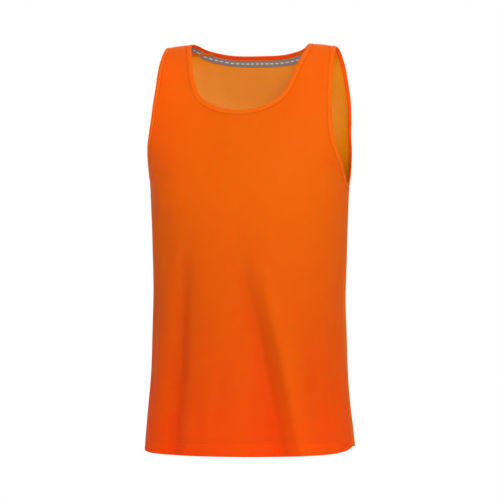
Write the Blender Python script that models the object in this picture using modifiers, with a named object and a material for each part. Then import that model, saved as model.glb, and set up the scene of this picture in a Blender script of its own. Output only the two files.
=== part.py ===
"""A sleeveless running singlet, filled out as it hangs from a wearer's shoulders.

Metres, +Z up, the front faces -Y and the wearer's left side is +X. The origin lies midway between the
two neck points, where the neckline crosses the top of the shoulders, so the garment hangs below it.

The outer face of the cloth is one smooth surface. It is read with two numbers: an angle round the body,
from 0 at the centre line to 90 degrees at the side, and a row of the SECTIONS table, negative down the
front, 0 along the top of the shoulders and positive down the back. The neckline and the armholes are
curves on that surface, the seams lie beside them, and each panel is a grid between two such curves.
"""

import collections
import math

import bmesh
import bpy
import numpy as np

# Driving sizes
NECK_HALF = 0.1025  # centre line to the neck point
SHOULDER_FALL = 2.3  # outside the neck point the shoulder falls by this times the distance squared
FALL_END_DROP = 0.25  # the shoulder's fall has died out this far down
HEM_DIP = 0.0160  # the front hem hangs this much lower at the centre line than at the sides
BACK_HEM_DIP = 0.0045  # the same for the back hem
HEM_DIP_START = 0.45  # drop at which the dip begins
WALL = 0.0012
HEM_WALL = 0.0024  # the hem is turned up inside, so it is two layers
HEM_DEPTH = 0.019  # at the sides
BAND_WALL = 0.0022
BAND_PROUD = 0.0005  # a band stands this far outside the panel
NECKBAND_WIDTH = 0.0092
ARMBAND_WIDTH = 0.008
TAPE_WIDTH = 0.0138
TAPE_WALL = 0.001
TAPE_GAP = 0.0010  # between the tape and the panel that it lies on
TAPE_START_ROW = 0.2  # the tape starts at the first station past this row
SEAM_GAP = 0.0005
SEAM_SET_BACK_NECK = 0.052  # top of the shoulder to the shoulder seam, along the neckline
SEAM_SET_BACK_ARM = 0.031  # the same along the armhole

# Mesh sizes
COLUMNS = 16  # of each half panel, from the centre line to the side
BACK_NECK_COLUMNS = 8  # of them, those that start at the back's neck edge and not at its shoulder seam
FRONT_YOKE_ROWS = 26  # shoulder seam to underarm
BACK_YOKE_ROWS = 19
CROWDING = 1.15  # over 1, rows lie closer toward the underarm and the centre of the neckline
BODY_ROWS = 18  # underarm to the hem's top
HEM_LINES = 3  # lines of vertices in the hem
UNDERARM_SAG = 1.6  # how far the front yoke's lowest row hangs below a line from neck to underarm
BACK_SAG = 0.5  # rows that the back yoke's lowest row hangs below the underarm, at the centre
BAND_COLUMNS = 3
CURVE_POINTS = 600  # of the fine polyline that an edge is measured on

# Level rings of the body, from the top of the shoulders down. Drop is measured down from the neck point,
# front and back are depths from the ring's middle, and a squareness of 2 is an ellipse.
Section = collections.namedtuple("Section", "drop half_width front back squareness middle")
SECTIONS = (
    Section(0.0000, 0.2000, 0.000, 0.000, 4.00, 0.0130),
    Section(0.0090, 0.2000, 0.020, 0.026, 4.00, 0.0130),
    Section(0.0280, 0.2000, 0.040, 0.045, 3.90, 0.0130),
    Section(0.0510, 0.2000, 0.056, 0.058, 3.70, 0.0130),
    Section(0.0750, 0.2000, 0.070, 0.0695, 3.45, 0.0130),
    Section(0.1000, 0.2000, 0.085, 0.080, 3.15, 0.0130),
    Section(0.1300, 0.1990, 0.102, 0.089, 2.75, 0.0130),
    Section(0.1650, 0.1930, 0.117, 0.096, 2.50, 0.0110),
    Section(0.2050, 0.1805, 0.128, 0.104, 2.35, 0.0090),
    Section(0.2500, 0.1750, 0.134, 0.110, 2.30, 0.0070),
    Section(0.3100, 0.1715, 0.134, 0.113, 2.30, 0.0045),
    Section(0.3700, 0.1692, 0.130, 0.111, 2.30, 0.0020),
    Section(0.4300, 0.1685, 0.126, 0.109, 2.30, 0.0000),
    Section(0.5000, 0.1705, 0.122, 0.111, 2.30, 0.0000),
    Section(0.5700, 0.1735, 0.121, 0.114, 2.30, 0.0000),
    Section(0.6350, 0.1780, 0.121, 0.117, 2.30, 0.0000),
    Section(0.6985, 0.1845, 0.123, 0.120, 2.30, 0.0000),
)
LAST_ROW = len(SECTIONS) - 1

# The finished neckline, from the centre front over the shoulder to the centre back
NeckPoint = collections.namedtuple("NeckPoint", "face x z")
FRONT, TOP, BACK = -1, 0, 1
NECKLINE = (
    NeckPoint(FRONT, 0.0000, -0.1162),
    NeckPoint(FRONT, 0.0380, -0.1112),
    NeckPoint(FRONT, 0.0702, -0.0925),
    NeckPoint(FRONT, 0.0853, -0.0652),
    NeckPoint(FRONT, 0.0935, -0.0366),
    NeckPoint(TOP, NECK_HALF, 0.0000),
    NeckPoint(BACK, 0.0845, -0.0090),
    NeckPoint(BACK, 0.0620, -0.0150),
    NeckPoint(BACK, 0.0000, -0.0190),
)

# The finished armhole, from the underarm up the front, over the shoulder and down the back. On the top of
# the shoulder the degrees alone place it.
ArmPoint = collections.namedtuple("ArmPoint", "face z degrees")
ARMHOLE = (
    ArmPoint(FRONT, -0.2455, 90.0),
    ArmPoint(FRONT, -0.2405, 84.5),
    ArmPoint(FRONT, -0.2230, 77.5),
    ArmPoint(FRONT, -0.206, 70.0),
    ArmPoint(FRONT, -0.188, 61.5),
    ArmPoint(FRONT, -0.169, 54.7),
    ArmPoint(FRONT, -0.133, 47.9),
    ArmPoint(FRONT, -0.091, 43.9),
    ArmPoint(FRONT, -0.049, 42.0),
    ArmPoint(TOP, None, 40.6),
    ArmPoint(BACK, -0.049, 42.8),
    ArmPoint(BACK, -0.083, 44.8),
    ArmPoint(BACK, -0.133, 49.0),
    ArmPoint(BACK, -0.169, 54.5),
    ArmPoint(BACK, -0.198, 65.0),
    ArmPoint(BACK, -0.223, 75.5),
    ArmPoint(BACK, -0.2405, 84.5),
    ArmPoint(BACK, -0.2455, 90.0),
)

# The largest folds: soft troughs, or ridges where the depth is negative, that run down a panel from
# top_z to bottom_z. Each passes through three x places, at its top, halfway and at its bottom. One whose
# runs_out is 1 is still full at its bottom end, and at 0 it has died out there.
Fold = collections.namedtuple(
    "Fold", "face top_z bottom_z top_x middle_x bottom_x depth half_width runs_out"
)
FOLDS = (
    Fold(FRONT, -0.300, -0.730, -0.074, -0.096, -0.106, 0.0080, 0.021, 1),
    Fold(FRONT, -0.330, -0.730, 0.008, 0.052, 0.090, 0.0110, 0.021, 1),
    Fold(FRONT, -0.350, -0.730, 0.042, 0.086, 0.124, -0.0060, 0.020, 1),
    Fold(FRONT, -0.420, -0.730, 0.130, 0.139, 0.142, 0.0060, 0.020, 0),
    Fold(BACK, -0.280, -0.730, -0.040, -0.060, -0.084, 0.0090, 0.022, 1),
    Fold(BACK, -0.350, -0.730, 0.050, 0.060, 0.076, 0.0090, 0.020, 1),
    Fold(BACK, -0.460, -0.730, -0.004, 0.004, 0.010, 0.0050, 0.018, 1),
)

# Base colours, roughness and metallic value of the cloths
SMOOTH_KNIT = ("smooth orange knit", (0.840, 0.122, 0.004, 1.0), 0.62, 0.0)
EYELET_MESH = ("orange eyelet mesh", (0.760, 0.200, 0.014, 1.0), 0.70, 0.0)
BAND_KNIT = ("orange band knit", (0.800, 0.115, 0.005, 1.0), 0.66, 0.0)
GREY_TAPE = ("grey woven tape", (0.160, 0.150, 0.140, 1.0), 0.80, 0.0)


def smoothstep(t):
    t = np.clip(t, 0.0, 1.0)
    return t * t * (3.0 - 2.0 * t)


def signed_rows():
    """The table's rows from the front hem over the shoulders to the back hem, one more past each end."""
    rows = []
    for number in range(-LAST_ROW, LAST_ROW + 1):
        s = SECTIONS[abs(number)]
        depth = s.back if number > 0 else -s.front
        rows.append((s.drop, s.half_width, depth, s.squareness, s.middle))
    rows = np.array(rows)
    return np.vstack([2 * rows[0] - rows[1], rows, 2 * rows[-1] - rows[-2]])


ROWS = signed_rows()


def section_at(row):
    """Drop, half width, signed depth, squareness and middle, on a smooth curve through the rows."""
    place = np.clip(row, -LAST_ROW, LAST_ROW) + LAST_ROW + 1
    start = np.minimum(np.floor(place).astype(int), 2 * LAST_ROW)
    t = (place - start)[..., None]
    a, b, c, d = (ROWS[start + step] for step in (-1, 0, 1, 2))
    curve = b + 0.5 * t * (c - a + t * (2 * a - 5 * b + 4 * c - d + t * (3 * (b - c) + d - a)))
    return np.moveaxis(curve, -1, 0)


def height(x, drop, depth, ahead):
    """Height of a ring's point: lower outside the neck point and, near the hem, toward the centre line."""
    shoulder = SHOULDER_FALL * np.maximum(x - NECK_HALF, 0.0) ** 2 * (1 - smoothstep(drop / FALL_END_DROP))
    low = ((drop - HEM_DIP_START) / (SECTIONS[-1].drop - HEM_DIP_START)).clip(0.0, 1.0)
    deepest = np.where(depth > 0, BACK_HEM_DIP, HEM_DIP)
    ahead = np.maximum(ahead, 0.0)
    dip = deepest * low**2 * (0.4 * ahead + 0.6 * (1 - (1 - ahead) ** 3))
    return -(drop + shoulder + dip)


def surface(angle, row):
    """Points of the smooth body surface, before its folds, on the wearer's left half."""
    drop, half_width, depth, squareness, middle = section_at(row)
    ahead, aside = np.cos(angle), np.sin(angle)
    reach = (np.abs(ahead) ** squareness + np.abs(aside) ** squareness) ** (-1 / squareness)
    x = half_width * reach * aside
    return np.stack([x, middle + depth * reach * ahead, height(x, drop, depth, ahead)], axis=-1)


def slopes(angle, row, step=1e-4):
    """How the surface moves with the angle and with the row."""
    by_angle = (surface(angle + step, row) - surface(angle - step, row)) / (2 * step)
    inside = np.clip(row, -LAST_ROW + step, LAST_ROW - step)
    by_row = (surface(angle, inside + step) - surface(angle, inside - step)) / (2 * step)
    return by_angle, by_row


def outward(angle, row):
    normal = np.cross(*slopes(angle, row))
    return normal / np.linalg.norm(normal, axis=-1, keepdims=True)


def fold_depth(face, x, z):
    """How far the folds press the cloth in at a place on the front or the back."""
    depth = np.zeros_like(x)
    for fold in FOLDS:
        t = np.clip((fold.top_z - z) / (fold.top_z - fold.bottom_z), 0.0, 1.0)
        bow = fold.middle_x - (fold.top_x + fold.bottom_x) / 2
        path = fold.top_x + (fold.bottom_x - fold.top_x) * t + 4 * bow * t * (1 - t)
        across = np.exp(-(((x - path) / (fold.half_width * (0.7 + 0.3 * t))) ** 2))
        along = smoothstep(t / 0.5) * (1 - (1 - fold.runs_out) * smoothstep(2 * t - 1))
        depth += np.where(face == fold.face, fold.depth * across * along, 0.0)
    return depth


def cloth(angle, row, side, lift=0.0):
    """Points on the folded cloth, and the directions out of it. Side is 1 on the wearer's left, else -1."""
    mirror = np.array([side, 1.0, 1.0])
    normals = outward(angle, row) * mirror
    points = surface(angle, row) * mirror
    pressed = fold_depth(np.sign(row), points[..., 0], points[..., 2])
    return points + normals * (lift - pressed)[..., None], normals


def row_at_height(face, z, place):
    """The row where the surface has this height, at the angle that place gives for a row. 0 on the top."""
    if face == TOP:
        return 0.0
    low, high = 0.0, float(LAST_ROW)
    for _ in range(50):
        row = face * (low + high) / 2
        above = surface(np.array(place(row)), np.array(row))[2] > z
        low, high = (abs(row), high) if above else (low, abs(row))
    return row


def angle_at_x(row, x):
    half_width, squareness = section_at(np.array(row))[[1, 3]]
    aside = x / half_width
    return math.atan2(aside, (1 - aside**squareness) ** (1 / squareness))


def smooth_curve(points, mirror_angle_at_start, mirror_angle_at_end):
    """A fine polyline through points, each an angle and a row, square to the body's two mirror lines."""
    before = (2 * mirror_angle_at_start - points[1][0], points[1][1])
    after = (2 * mirror_angle_at_end - points[-2][0], points[-2][1])
    points = np.array([before, *points, after])
    places = surface(points[:, 0], points[:, 1])
    chords = np.linalg.norm(np.diff(places, axis=0), axis=1)
    knots = np.concatenate([[0.0], np.cumsum(chords)])
    rates = np.gradient(points, knots, axis=0)
    at = np.linspace(knots[1], knots[-2], CURVE_POINTS)
    start = np.clip(np.searchsorted(knots, at, side="right") - 1, 1, len(knots) - 3)
    span = (knots[start + 1] - knots[start])[:, None]
    t = (at - knots[start])[:, None] / span
    near = (1 + 2 * t) * (1 - t) ** 2 * points[start] + t * (1 - t) ** 2 * span * rates[start]
    far = t * t * (3 - 2 * t) * points[start + 1] - t * t * (1 - t) * span * rates[start + 1]
    return near + far


def neckline():
    points = []
    for point in NECKLINE:
        row = row_at_height(point.face, point.z, lambda row, x=point.x: angle_at_x(row, x))
        points.append((angle_at_x(row, point.x), row))
    return smooth_curve(points, 0.0, 0.0)


def armhole():
    points = []
    for point in ARMHOLE:
        angle = math.radians(point.degrees)
        row = row_at_height(point.face, point.z, lambda row, angle=angle: angle)
        points.append((angle, row))
    return smooth_curve(points, math.pi / 2, math.pi / 2)


def inset(curve, distance, toward):
    """The curve moved by a distance along the surface. Toward is 1 for the neckline, -1 for an armhole."""
    angle, row = curve[:, 0], curve[:, 1]
    along = np.gradient(surface(angle, row), axis=0)
    sideways = np.cross(along, outward(angle, row)) * toward
    sideways *= distance / np.linalg.norm(sideways, axis=1, keepdims=True)
    by_angle, by_row = slopes(angle, row)
    aa, rr, ar = (by_angle**2).sum(1), (by_row**2).sum(1), (by_angle * by_row).sum(1)
    a, r = (by_angle * sideways).sum(1), (by_row * sideways).sum(1)
    scale = aa * rr - ar * ar
    moved = np.stack([angle + (a * rr - r * ar) / scale, row + (r * aa - a * ar) / scale], axis=1)
    moved[[0, -1], 0] = curve[[0, -1], 0]
    return moved


def lengths(curve):
    """Distance of each point of a curve from its start, along the cloth."""
    steps = np.linalg.norm(np.diff(surface(curve[:, 0], curve[:, 1]), axis=0), axis=1)
    return np.concatenate([[0.0], np.cumsum(steps)])


def read(curve, share):
    """Angles and rows at these shares of the curve's points."""
    place = np.linspace(0.0, 1.0, len(curve))
    return np.interp(share, place, curve[:, 0]), np.interp(share, place, curve[:, 1])


def stations(curve, set_back, front_steps, back_steps):
    """Shares of the curve's points at the rows of the panels beside it.

    They are spaced along the cloth from the shoulder seam both ways, so a band made on them runs beside
    the panels at an even gap.
    """
    measured = lengths(curve)
    seam = np.interp(0.0, curve[:, 1], measured) + set_back
    front = seam * np.linspace(0.0, 1.0, front_steps + 1) ** CROWDING
    back = measured[-1] - (measured[-1] - seam) * np.linspace(1.0, 0.0, back_steps + 1) ** CROWDING
    place = np.linspace(0.0, 1.0, len(curve))
    return np.interp([*front, *back[1:]], measured, place)


def neck_stations():
    return stations(neckline(), SEAM_SET_BACK_NECK, FRONT_YOKE_ROWS, BACK_NECK_COLUMNS)


def arm_stations():
    return stations(armhole(), SEAM_SET_BACK_ARM, FRONT_YOKE_ROWS, BACK_YOKE_ROWS)


def side_angle():
    """The angle of a panel's side edge, half a seam gap short of the side."""
    return math.pi / 2 - SEAM_GAP / 2 / SECTIONS[LAST_ROW // 2].front


def edges_of(face):
    """Angles and rows of a half panel's neck edge and armhole edge, each from the shoulder seam."""
    edges = []
    for curve, shares, band, toward in (
        (neckline(), neck_stations(), NECKBAND_WIDTH, 1),
        (armhole(), arm_stations(), ARMBAND_WIDTH, -1),
    ):
        shares = shares[FRONT_YOKE_ROWS::-1] if face == FRONT else shares[FRONT_YOKE_ROWS:]
        shares[0] += face * SEAM_GAP / 2 / lengths(curve)[-1]
        edges.append(read(inset(curve, band + SEAM_GAP, toward), shares))
    return edges


def front_yoke():
    """Angles and rows of half the front above the underarm, in rows from the neck to the armhole."""
    (neck_angle, neck_row), (arm_angle, arm_row) = edges_of(FRONT)
    arm_angle = np.minimum(arm_angle, side_angle())
    across = np.linspace(0.0, 1.0, COLUMNS + 1)
    sag = UNDERARM_SAG * np.linspace(0.0, 1.0, FRONT_YOKE_ROWS + 1)[:, None]
    angle = neck_angle[:, None] + (arm_angle - neck_angle)[:, None] * across
    row = neck_row[:, None] + (arm_row - neck_row)[:, None] * across * (1 + sag - sag * across)
    return angle, row


def back_yoke():
    """The same for the back, in level rows from the centre line to the armhole, below neck and seam."""
    (neck_angle, neck_row), (arm_angle, arm_row) = edges_of(BACK)
    arm_angle = np.minimum(arm_angle, side_angle())
    seam_columns = COLUMNS - BACK_NECK_COLUMNS
    seam_angle = np.linspace(neck_angle[0], arm_angle[0], seam_columns + 1)
    seam_row = np.linspace(neck_row[0], arm_row[0], seam_columns + 1)
    upper = np.array([[*neck_angle[:0:-1], *seam_angle], [*neck_row[:0:-1], *seam_row]])
    down = np.linspace(0.0, 1.0, BACK_YOKE_ROWS + 1)
    centre_row = neck_row[-1] + (arm_row[-1] + BACK_SAG - neck_row[-1]) * down
    centre = np.array([np.zeros_like(down), centre_row])
    across = np.linspace(0.0, 1.0, COLUMNS + 1)
    lower = np.array([arm_angle[-1] * across, centre_row[-1] - BACK_SAG * across**3])
    return blend_edges(upper, lower, centre, np.array([arm_angle, arm_row]), down[:, None], across)


def blend_edges(upper, lower, centre, arm, down, across):
    """A grid between four edges, each of its lines passing evenly from one edge's shape to the other's."""
    between_sides = centre[:, :, None] * (1 - across) + arm[:, :, None] * across
    between_ends = upper[:, None, :] * (1 - down) + lower[:, None, :] * down
    top = upper[:, None, :1] * (1 - across) + upper[:, None, -1:] * across
    bottom = lower[:, None, :1] * (1 - across) + lower[:, None, -1:] * across
    return between_sides + between_ends - top * (1 - down) - bottom * down


def half_panel(face):
    """Angles and rows of half a panel's grid: the yoke, then level rows down to the hem."""
    angle, row = front_yoke() if face == FRONT else back_yoke()
    body_row = row[-1] + (face * LAST_ROW - row[-1]) * body_steps()[:, None]
    body_angle = np.broadcast_to(angle[-1], body_row.shape)
    return np.vstack([angle, body_angle]), np.vstack([row, body_row])


def body_steps():
    """Shares of the way from the underarm line to the hem's edge, with a close pair at the hem's top."""
    last_section = SECTIONS[-1].drop - SECTIONS[-2].drop
    body = LAST_ROW - abs(armhole()[0, 1])
    above_hem = 1 - (HEM_DEPTH + WALL) / last_section / body
    hem_top = 1 - HEM_DEPTH / last_section / body
    down = np.linspace(0.0, above_hem, BODY_ROWS + 1)[1:]
    return np.concatenate([down, np.linspace(hem_top, 1.0, HEM_LINES)])


def add_grid(shape, points, normals, closed=False):
    """Adds a grid of quads that look along the normals, and returns its vertices, row by row.

    A closed grid joins its last row to its first.
    """
    vertices = [[shape.verts.new(point) for point in line] for line in points]
    turns = np.cross(points[1:, :-1] - points[:-1, :-1], points[:-1, 1:] - points[:-1, :-1])
    flipped = (turns * normals[:-1, :-1]).sum() < 0
    following = vertices[1:] + vertices[:1] if closed else vertices[1:]
    for line, after in zip(vertices, following):
        for j in range(len(line) - 1):
            corners = [line[j], after[j], after[j + 1], line[j + 1]]
            shape.faces.new(corners[::-1] if flipped else corners)
    return vertices


def finish(name, shape, material, wall, collection):
    """Makes an object of an open surface and gives it its wall, inwards."""
    bmesh.ops.remove_doubles(shape, verts=shape.verts, dist=0.00002)
    mesh = bpy.data.meshes.new(name)
    shape.to_mesh(mesh)
    shape.free()
    mesh.shade_smooth()
    mesh.set_sharp_from_angle(angle=math.radians(50))
    mesh.materials.append(material)
    piece = bpy.data.objects.new(name, mesh)
    collection.objects.link(piece)
    solid = piece.modifiers.new("cloth wall", "SOLIDIFY")
    solid.thickness = wall
    solid.offset = -1.0
    solid.use_even_offset = True
    solid.use_quality_normals = True
    return piece


def panel(name, face, material, collection):
    """The front or the back: two halves joined down the centre, thicker where the hem is turned up."""
    shape = bmesh.new()
    weights = shape.verts.layers.deform.verify()
    for side in (1, -1):
        vertices = add_grid(shape, *cloth(*half_panel(face), side))
        for vertex in sum(vertices[-HEM_LINES:], []):
            vertex[weights][0] = 1.0
    piece = finish(name, shape, material, HEM_WALL, collection)
    wall = piece.modifiers["cloth wall"]
    wall.vertex_group = piece.vertex_groups.new(name="turned-up hem").name
    wall.thickness_vertex_group = WALL / HEM_WALL
    return piece


def strip(curve, shares, toward, widths):
    """Angles and rows of a grid along an edge, each of its lines inset by one of the widths."""
    lines = [read(inset(curve, width, toward), shares) for width in widths]
    return (np.stack(part, axis=1) for part in zip(*lines))


def neckband(material, collection):
    """The folded strip round the neck, one closed ring."""
    widths = np.linspace(0.0, NECKBAND_WIDTH, BAND_COLUMNS + 1)
    angle, row = strip(neckline(), neck_stations(), 1, widths)
    left = cloth(angle, row, 1, BAND_PROUD)
    right = cloth(angle[-2:0:-1], row[-2:0:-1], -1, BAND_PROUD)
    shape = bmesh.new()
    add_grid(shape, *(np.vstack(halves) for halves in zip(left, right)), closed=True)
    return finish("neckband", shape, material, BAND_WALL, collection)


def armhole_binding(name, side, material, collection):
    """The folded strip round one armhole, a closed ring that meets itself at the underarm."""
    widths = np.linspace(0.0, ARMBAND_WIDTH, BAND_COLUMNS + 1)
    angle, row = strip(armhole(), arm_stations()[:-1], -1, widths)
    shape = bmesh.new()
    add_grid(shape, *cloth(angle, row, side, BAND_PROUD), closed=True)
    return finish(name, shape, material, BAND_WALL, collection)


def neck_tape(material, collection):
    """The tape inside the back neck, under the panel, from just behind one shoulder's top to the other."""
    neck, shares = neckline(), neck_stations()
    first = np.searchsorted(read(neck, shares)[1], TAPE_START_ROW)
    upper = NECKBAND_WIDTH + SEAM_GAP
    widths = (upper, upper + TAPE_WIDTH / 2, upper + TAPE_WIDTH)
    angle, row = strip(neck, shares[first:], 1, widths)
    under = -(WALL + TAPE_GAP)
    left = cloth(angle, row, 1, under)
    right = cloth(angle[-2::-1], row[-2::-1], -1, under)
    shape = bmesh.new()
    add_grid(shape, *(np.vstack(halves) for halves in zip(left, right)))
    return finish("neck_tape", shape, material, TAPE_WALL, collection)


def principled(name, colour, roughness, metallic):
    material = bpy.data.materials.new(name)
    material.use_nodes = True
    shader = material.node_tree.nodes["Principled BSDF"]
    shader.inputs["Base Color"].default_value = colour
    shader.inputs["Roughness"].default_value = roughness
    shader.inputs["Metallic"].default_value = metallic
    material.diffuse_color = colour
    return material


def main():
    for old in list(bpy.data.objects):
        bpy.data.objects.remove(old)
    singlet = bpy.data.collections.new("running singlet")
    bpy.context.scene.collection.children.link(singlet)
    knit = principled(*SMOOTH_KNIT)
    band_knit = principled(*BAND_KNIT)
    panel("front", FRONT, knit, singlet)
    panel("back", BACK, principled(*EYELET_MESH), singlet)
    neckband(band_knit, singlet)
    neck_tape(principled(*GREY_TAPE), singlet)
    armhole_binding("armhole_binding_left", 1, band_knit, singlet)
    armhole_binding("armhole_binding_right", -1, band_knit, singlet)


main()
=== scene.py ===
"""The looks of an orange running singlet, filled out as it hangs from a wearer's shoulders.

Metres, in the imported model's frame: +Z up, the front faces -Y, the wearer's left is +X, and the origin lies
midway between the two neck points.

Every piece is cut from one smooth body surface, the same as the solids'. It is read with an angle round
the body, from 0 at the centre line to 90 degrees at the side, and a row of the SECTIONS table, negative
down the front, 0 along the top of the shoulders and positive down the back. Panels are two-walled cloth
between the seams, bands are ribbons along the edges, and Geometry Nodes lay the sewing on its paths.
"""

import collections
import math

import bmesh
import bpy
import numpy as np
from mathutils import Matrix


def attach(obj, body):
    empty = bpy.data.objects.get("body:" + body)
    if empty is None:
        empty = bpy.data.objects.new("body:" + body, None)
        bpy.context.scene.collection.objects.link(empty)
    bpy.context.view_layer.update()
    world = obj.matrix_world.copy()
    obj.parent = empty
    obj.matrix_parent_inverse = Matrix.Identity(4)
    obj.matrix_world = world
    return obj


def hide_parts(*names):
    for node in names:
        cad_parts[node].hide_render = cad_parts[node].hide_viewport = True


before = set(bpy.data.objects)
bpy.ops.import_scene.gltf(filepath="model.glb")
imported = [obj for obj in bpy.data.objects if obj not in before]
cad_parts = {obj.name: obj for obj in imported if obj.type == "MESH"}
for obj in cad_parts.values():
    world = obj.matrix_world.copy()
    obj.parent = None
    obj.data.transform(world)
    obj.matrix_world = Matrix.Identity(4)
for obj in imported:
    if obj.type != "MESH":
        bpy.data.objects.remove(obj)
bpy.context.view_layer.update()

# ------- sizes of the cut, as in the solids

NECK_HALF = 0.1025  # centre line to the neck point
SHOULDER_FALL = 2.3  # outside the neck point the shoulder falls by this times the distance squared
FALL_END_DROP = 0.25  # the shoulder's fall has died out this far down
HEM_DIP = 0.0160  # the front hem hangs this much lower at the centre line than at the sides
BACK_HEM_DIP = 0.0045  # the same for the back hem
HEM_DIP_START = 0.45  # drop at which the dip begins
NECKBAND_WIDTH = 0.0092
ARMBAND_WIDTH = 0.008
TAPE_WIDTH = 0.0138
TAPE_START_ROW = 0.2  # the tape starts this far behind the top of the shoulder
SEAM_SET_BACK_NECK = 0.052  # top of the shoulder to the shoulder seam, along the neckline
SEAM_SET_BACK_ARM = 0.031  # the same along the armhole
UNDERARM_SAG = 1.6  # how far the front yoke's lowest row hangs below a line from neck to underarm
BACK_SAG = 0.5  # rows that the back yoke's lowest row hangs below the underarm, at the centre

Section = collections.namedtuple("Section", "drop half_width front back squareness middle")
SECTIONS = (
    Section(0.0000, 0.2000, 0.000, 0.000, 4.00, 0.0130),
    Section(0.0090, 0.2000, 0.020, 0.026, 4.00, 0.0130),
    Section(0.0280, 0.2000, 0.040, 0.045, 3.90, 0.0130),
    Section(0.0510, 0.2000, 0.056, 0.058, 3.70, 0.0130),
    Section(0.0750, 0.2000, 0.070, 0.0695, 3.45, 0.0130),
    Section(0.1000, 0.2000, 0.085, 0.080, 3.15, 0.0130),
    Section(0.1300, 0.1990, 0.102, 0.089, 2.75, 0.0130),
    Section(0.1650, 0.1930, 0.117, 0.096, 2.50, 0.0110),
    Section(0.2050, 0.1805, 0.128, 0.104, 2.35, 0.0090),
    Section(0.2500, 0.1750, 0.134, 0.110, 2.30, 0.0070),
    Section(0.3100, 0.1715, 0.134, 0.113, 2.30, 0.0045),
    Section(0.3700, 0.1692, 0.130, 0.111, 2.30, 0.0020),
    Section(0.4300, 0.1685, 0.126, 0.109, 2.30, 0.0000),
    Section(0.5000, 0.1705, 0.122, 0.111, 2.30, 0.0000),
    Section(0.5700, 0.1735, 0.121, 0.114, 2.30, 0.0000),
    Section(0.6350, 0.1780, 0.121, 0.117, 2.30, 0.0000),
    Section(0.6985, 0.1845, 0.123, 0.120, 2.30, 0.0000),
)
LAST_ROW = len(SECTIONS) - 1
FRONT, TOP, BACK = -1, 0, 1
SIDES = (("left", 1), ("right", -1))  # the wearer's

NeckPoint = collections.namedtuple("NeckPoint", "face x z")
NECKLINE = (
    NeckPoint(FRONT, 0.0000, -0.1162),
    NeckPoint(FRONT, 0.0380, -0.1112),
    NeckPoint(FRONT, 0.0702, -0.0925),
    NeckPoint(FRONT, 0.0853, -0.0652),
    NeckPoint(FRONT, 0.0935, -0.0366),
    NeckPoint(TOP, NECK_HALF, 0.0000),
    NeckPoint(BACK, 0.0845, -0.0090),
    NeckPoint(BACK, 0.0620, -0.0150),
    NeckPoint(BACK, 0.0000, -0.0190),
)

ArmPoint = collections.namedtuple("ArmPoint", "face z degrees")
ARMHOLE = (
    ArmPoint(FRONT, -0.2455, 90.0),
    ArmPoint(FRONT, -0.2405, 84.5),
    ArmPoint(FRONT, -0.2230, 77.5),
    ArmPoint(FRONT, -0.206, 70.0),
    ArmPoint(FRONT, -0.188, 61.5),
    ArmPoint(FRONT, -0.169, 54.7),
    ArmPoint(FRONT, -0.133, 47.9),
    ArmPoint(FRONT, -0.091, 43.9),
    ArmPoint(FRONT, -0.049, 42.0),
    ArmPoint(TOP, None, 40.6),
    ArmPoint(BACK, -0.049, 42.8),
    ArmPoint(BACK, -0.083, 44.8),
    ArmPoint(BACK, -0.133, 49.0),
    ArmPoint(BACK, -0.169, 54.5),
    ArmPoint(BACK, -0.198, 65.0),
    ArmPoint(BACK, -0.223, 75.5),
    ArmPoint(BACK, -0.2405, 84.5),
    ArmPoint(BACK, -0.2455, 90.0),
)

# The large folds, much as in the solids: troughs, or ridges where the depth is negative
Fold = collections.namedtuple(
    "Fold", "face top_z bottom_z top_x middle_x bottom_x depth half_width runs_out"
)
FOLDS = (
    Fold(FRONT, -0.300, -0.730, -0.078, -0.104, -0.120, 0.0090, 0.021, 1),
    Fold(FRONT, -0.330, -0.730, 0.008, 0.051, 0.089, 0.0105, 0.024, 1),
    Fold(FRONT, -0.350, -0.730, 0.042, 0.086, 0.124, -0.0055, 0.021, 1),
    Fold(FRONT, -0.420, -0.730, 0.130, 0.139, 0.142, 0.0060, 0.020, 0),
    Fold(BACK, -0.280, -0.730, -0.040, -0.060, -0.084, 0.0090, 0.022, 1),
    Fold(BACK, -0.350, -0.730, 0.050, 0.060, 0.076, 0.0090, 0.020, 1),
    Fold(BACK, -0.460, -0.730, -0.004, 0.004, 0.010, 0.0050, 0.018, 1),
)

# ------- sizes of the cloth and its sewing

CLOTH = 0.0008  # one layer
HEM_CLOTH = 0.0017  # the hem is turned up inside
HEM_DEPTH = 0.0255  # of the turned-up layer
HEM_STITCH_ROWS = (0.0184, 0.0234)  # twin needle, up from the hem's edge
HEM_SEWING = sum(HEM_STITCH_ROWS) / 2  # midway between them
HEM_STEP = 0.0008  # over this length the wall goes from one layer to two
SEAM_LAP = 0.0003  # the cut edges pass a seam by this much, out of sight in its groove
SEAM_TURN = 0.0011  # a panel's cut edge turns in this far at a seam
SEAM_TURN_REACH = 0.0012  # the turn has mostly died out this far from the seam
TOPSTITCH = 0.0021  # from a band's seam to the stitches beside it
STITCH_SINK = 0.00022  # stitches pull the cloth in this far
STITCH_SINK_REACH = 0.0008
PUCKER = 0.00022  # height of the small waves that a band's thread draws up
PUCKER_REACH = 0.009
HEM_PUCKER = 1.4  # the hem's are higher by this, and die out over the reach below
HEM_PUCKER_REACH = 0.012
INNER_SINK = 0.35  # the inner wall takes up this share of what sinks the outer one
THINNEST = 0.3  # and leaves at least this share of one layer between them
WAVES_GROW = 0.08  # the cloth's slow waves reach full height this far from the shoulder's top
PAINTED_SHADE_FOLD_DEPTH = 0.012  # cloth pressed in this far gets the full painted shade of a fold
CREASE_FADE = 0.35  # share of its length over which a crease fades at each end

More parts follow.
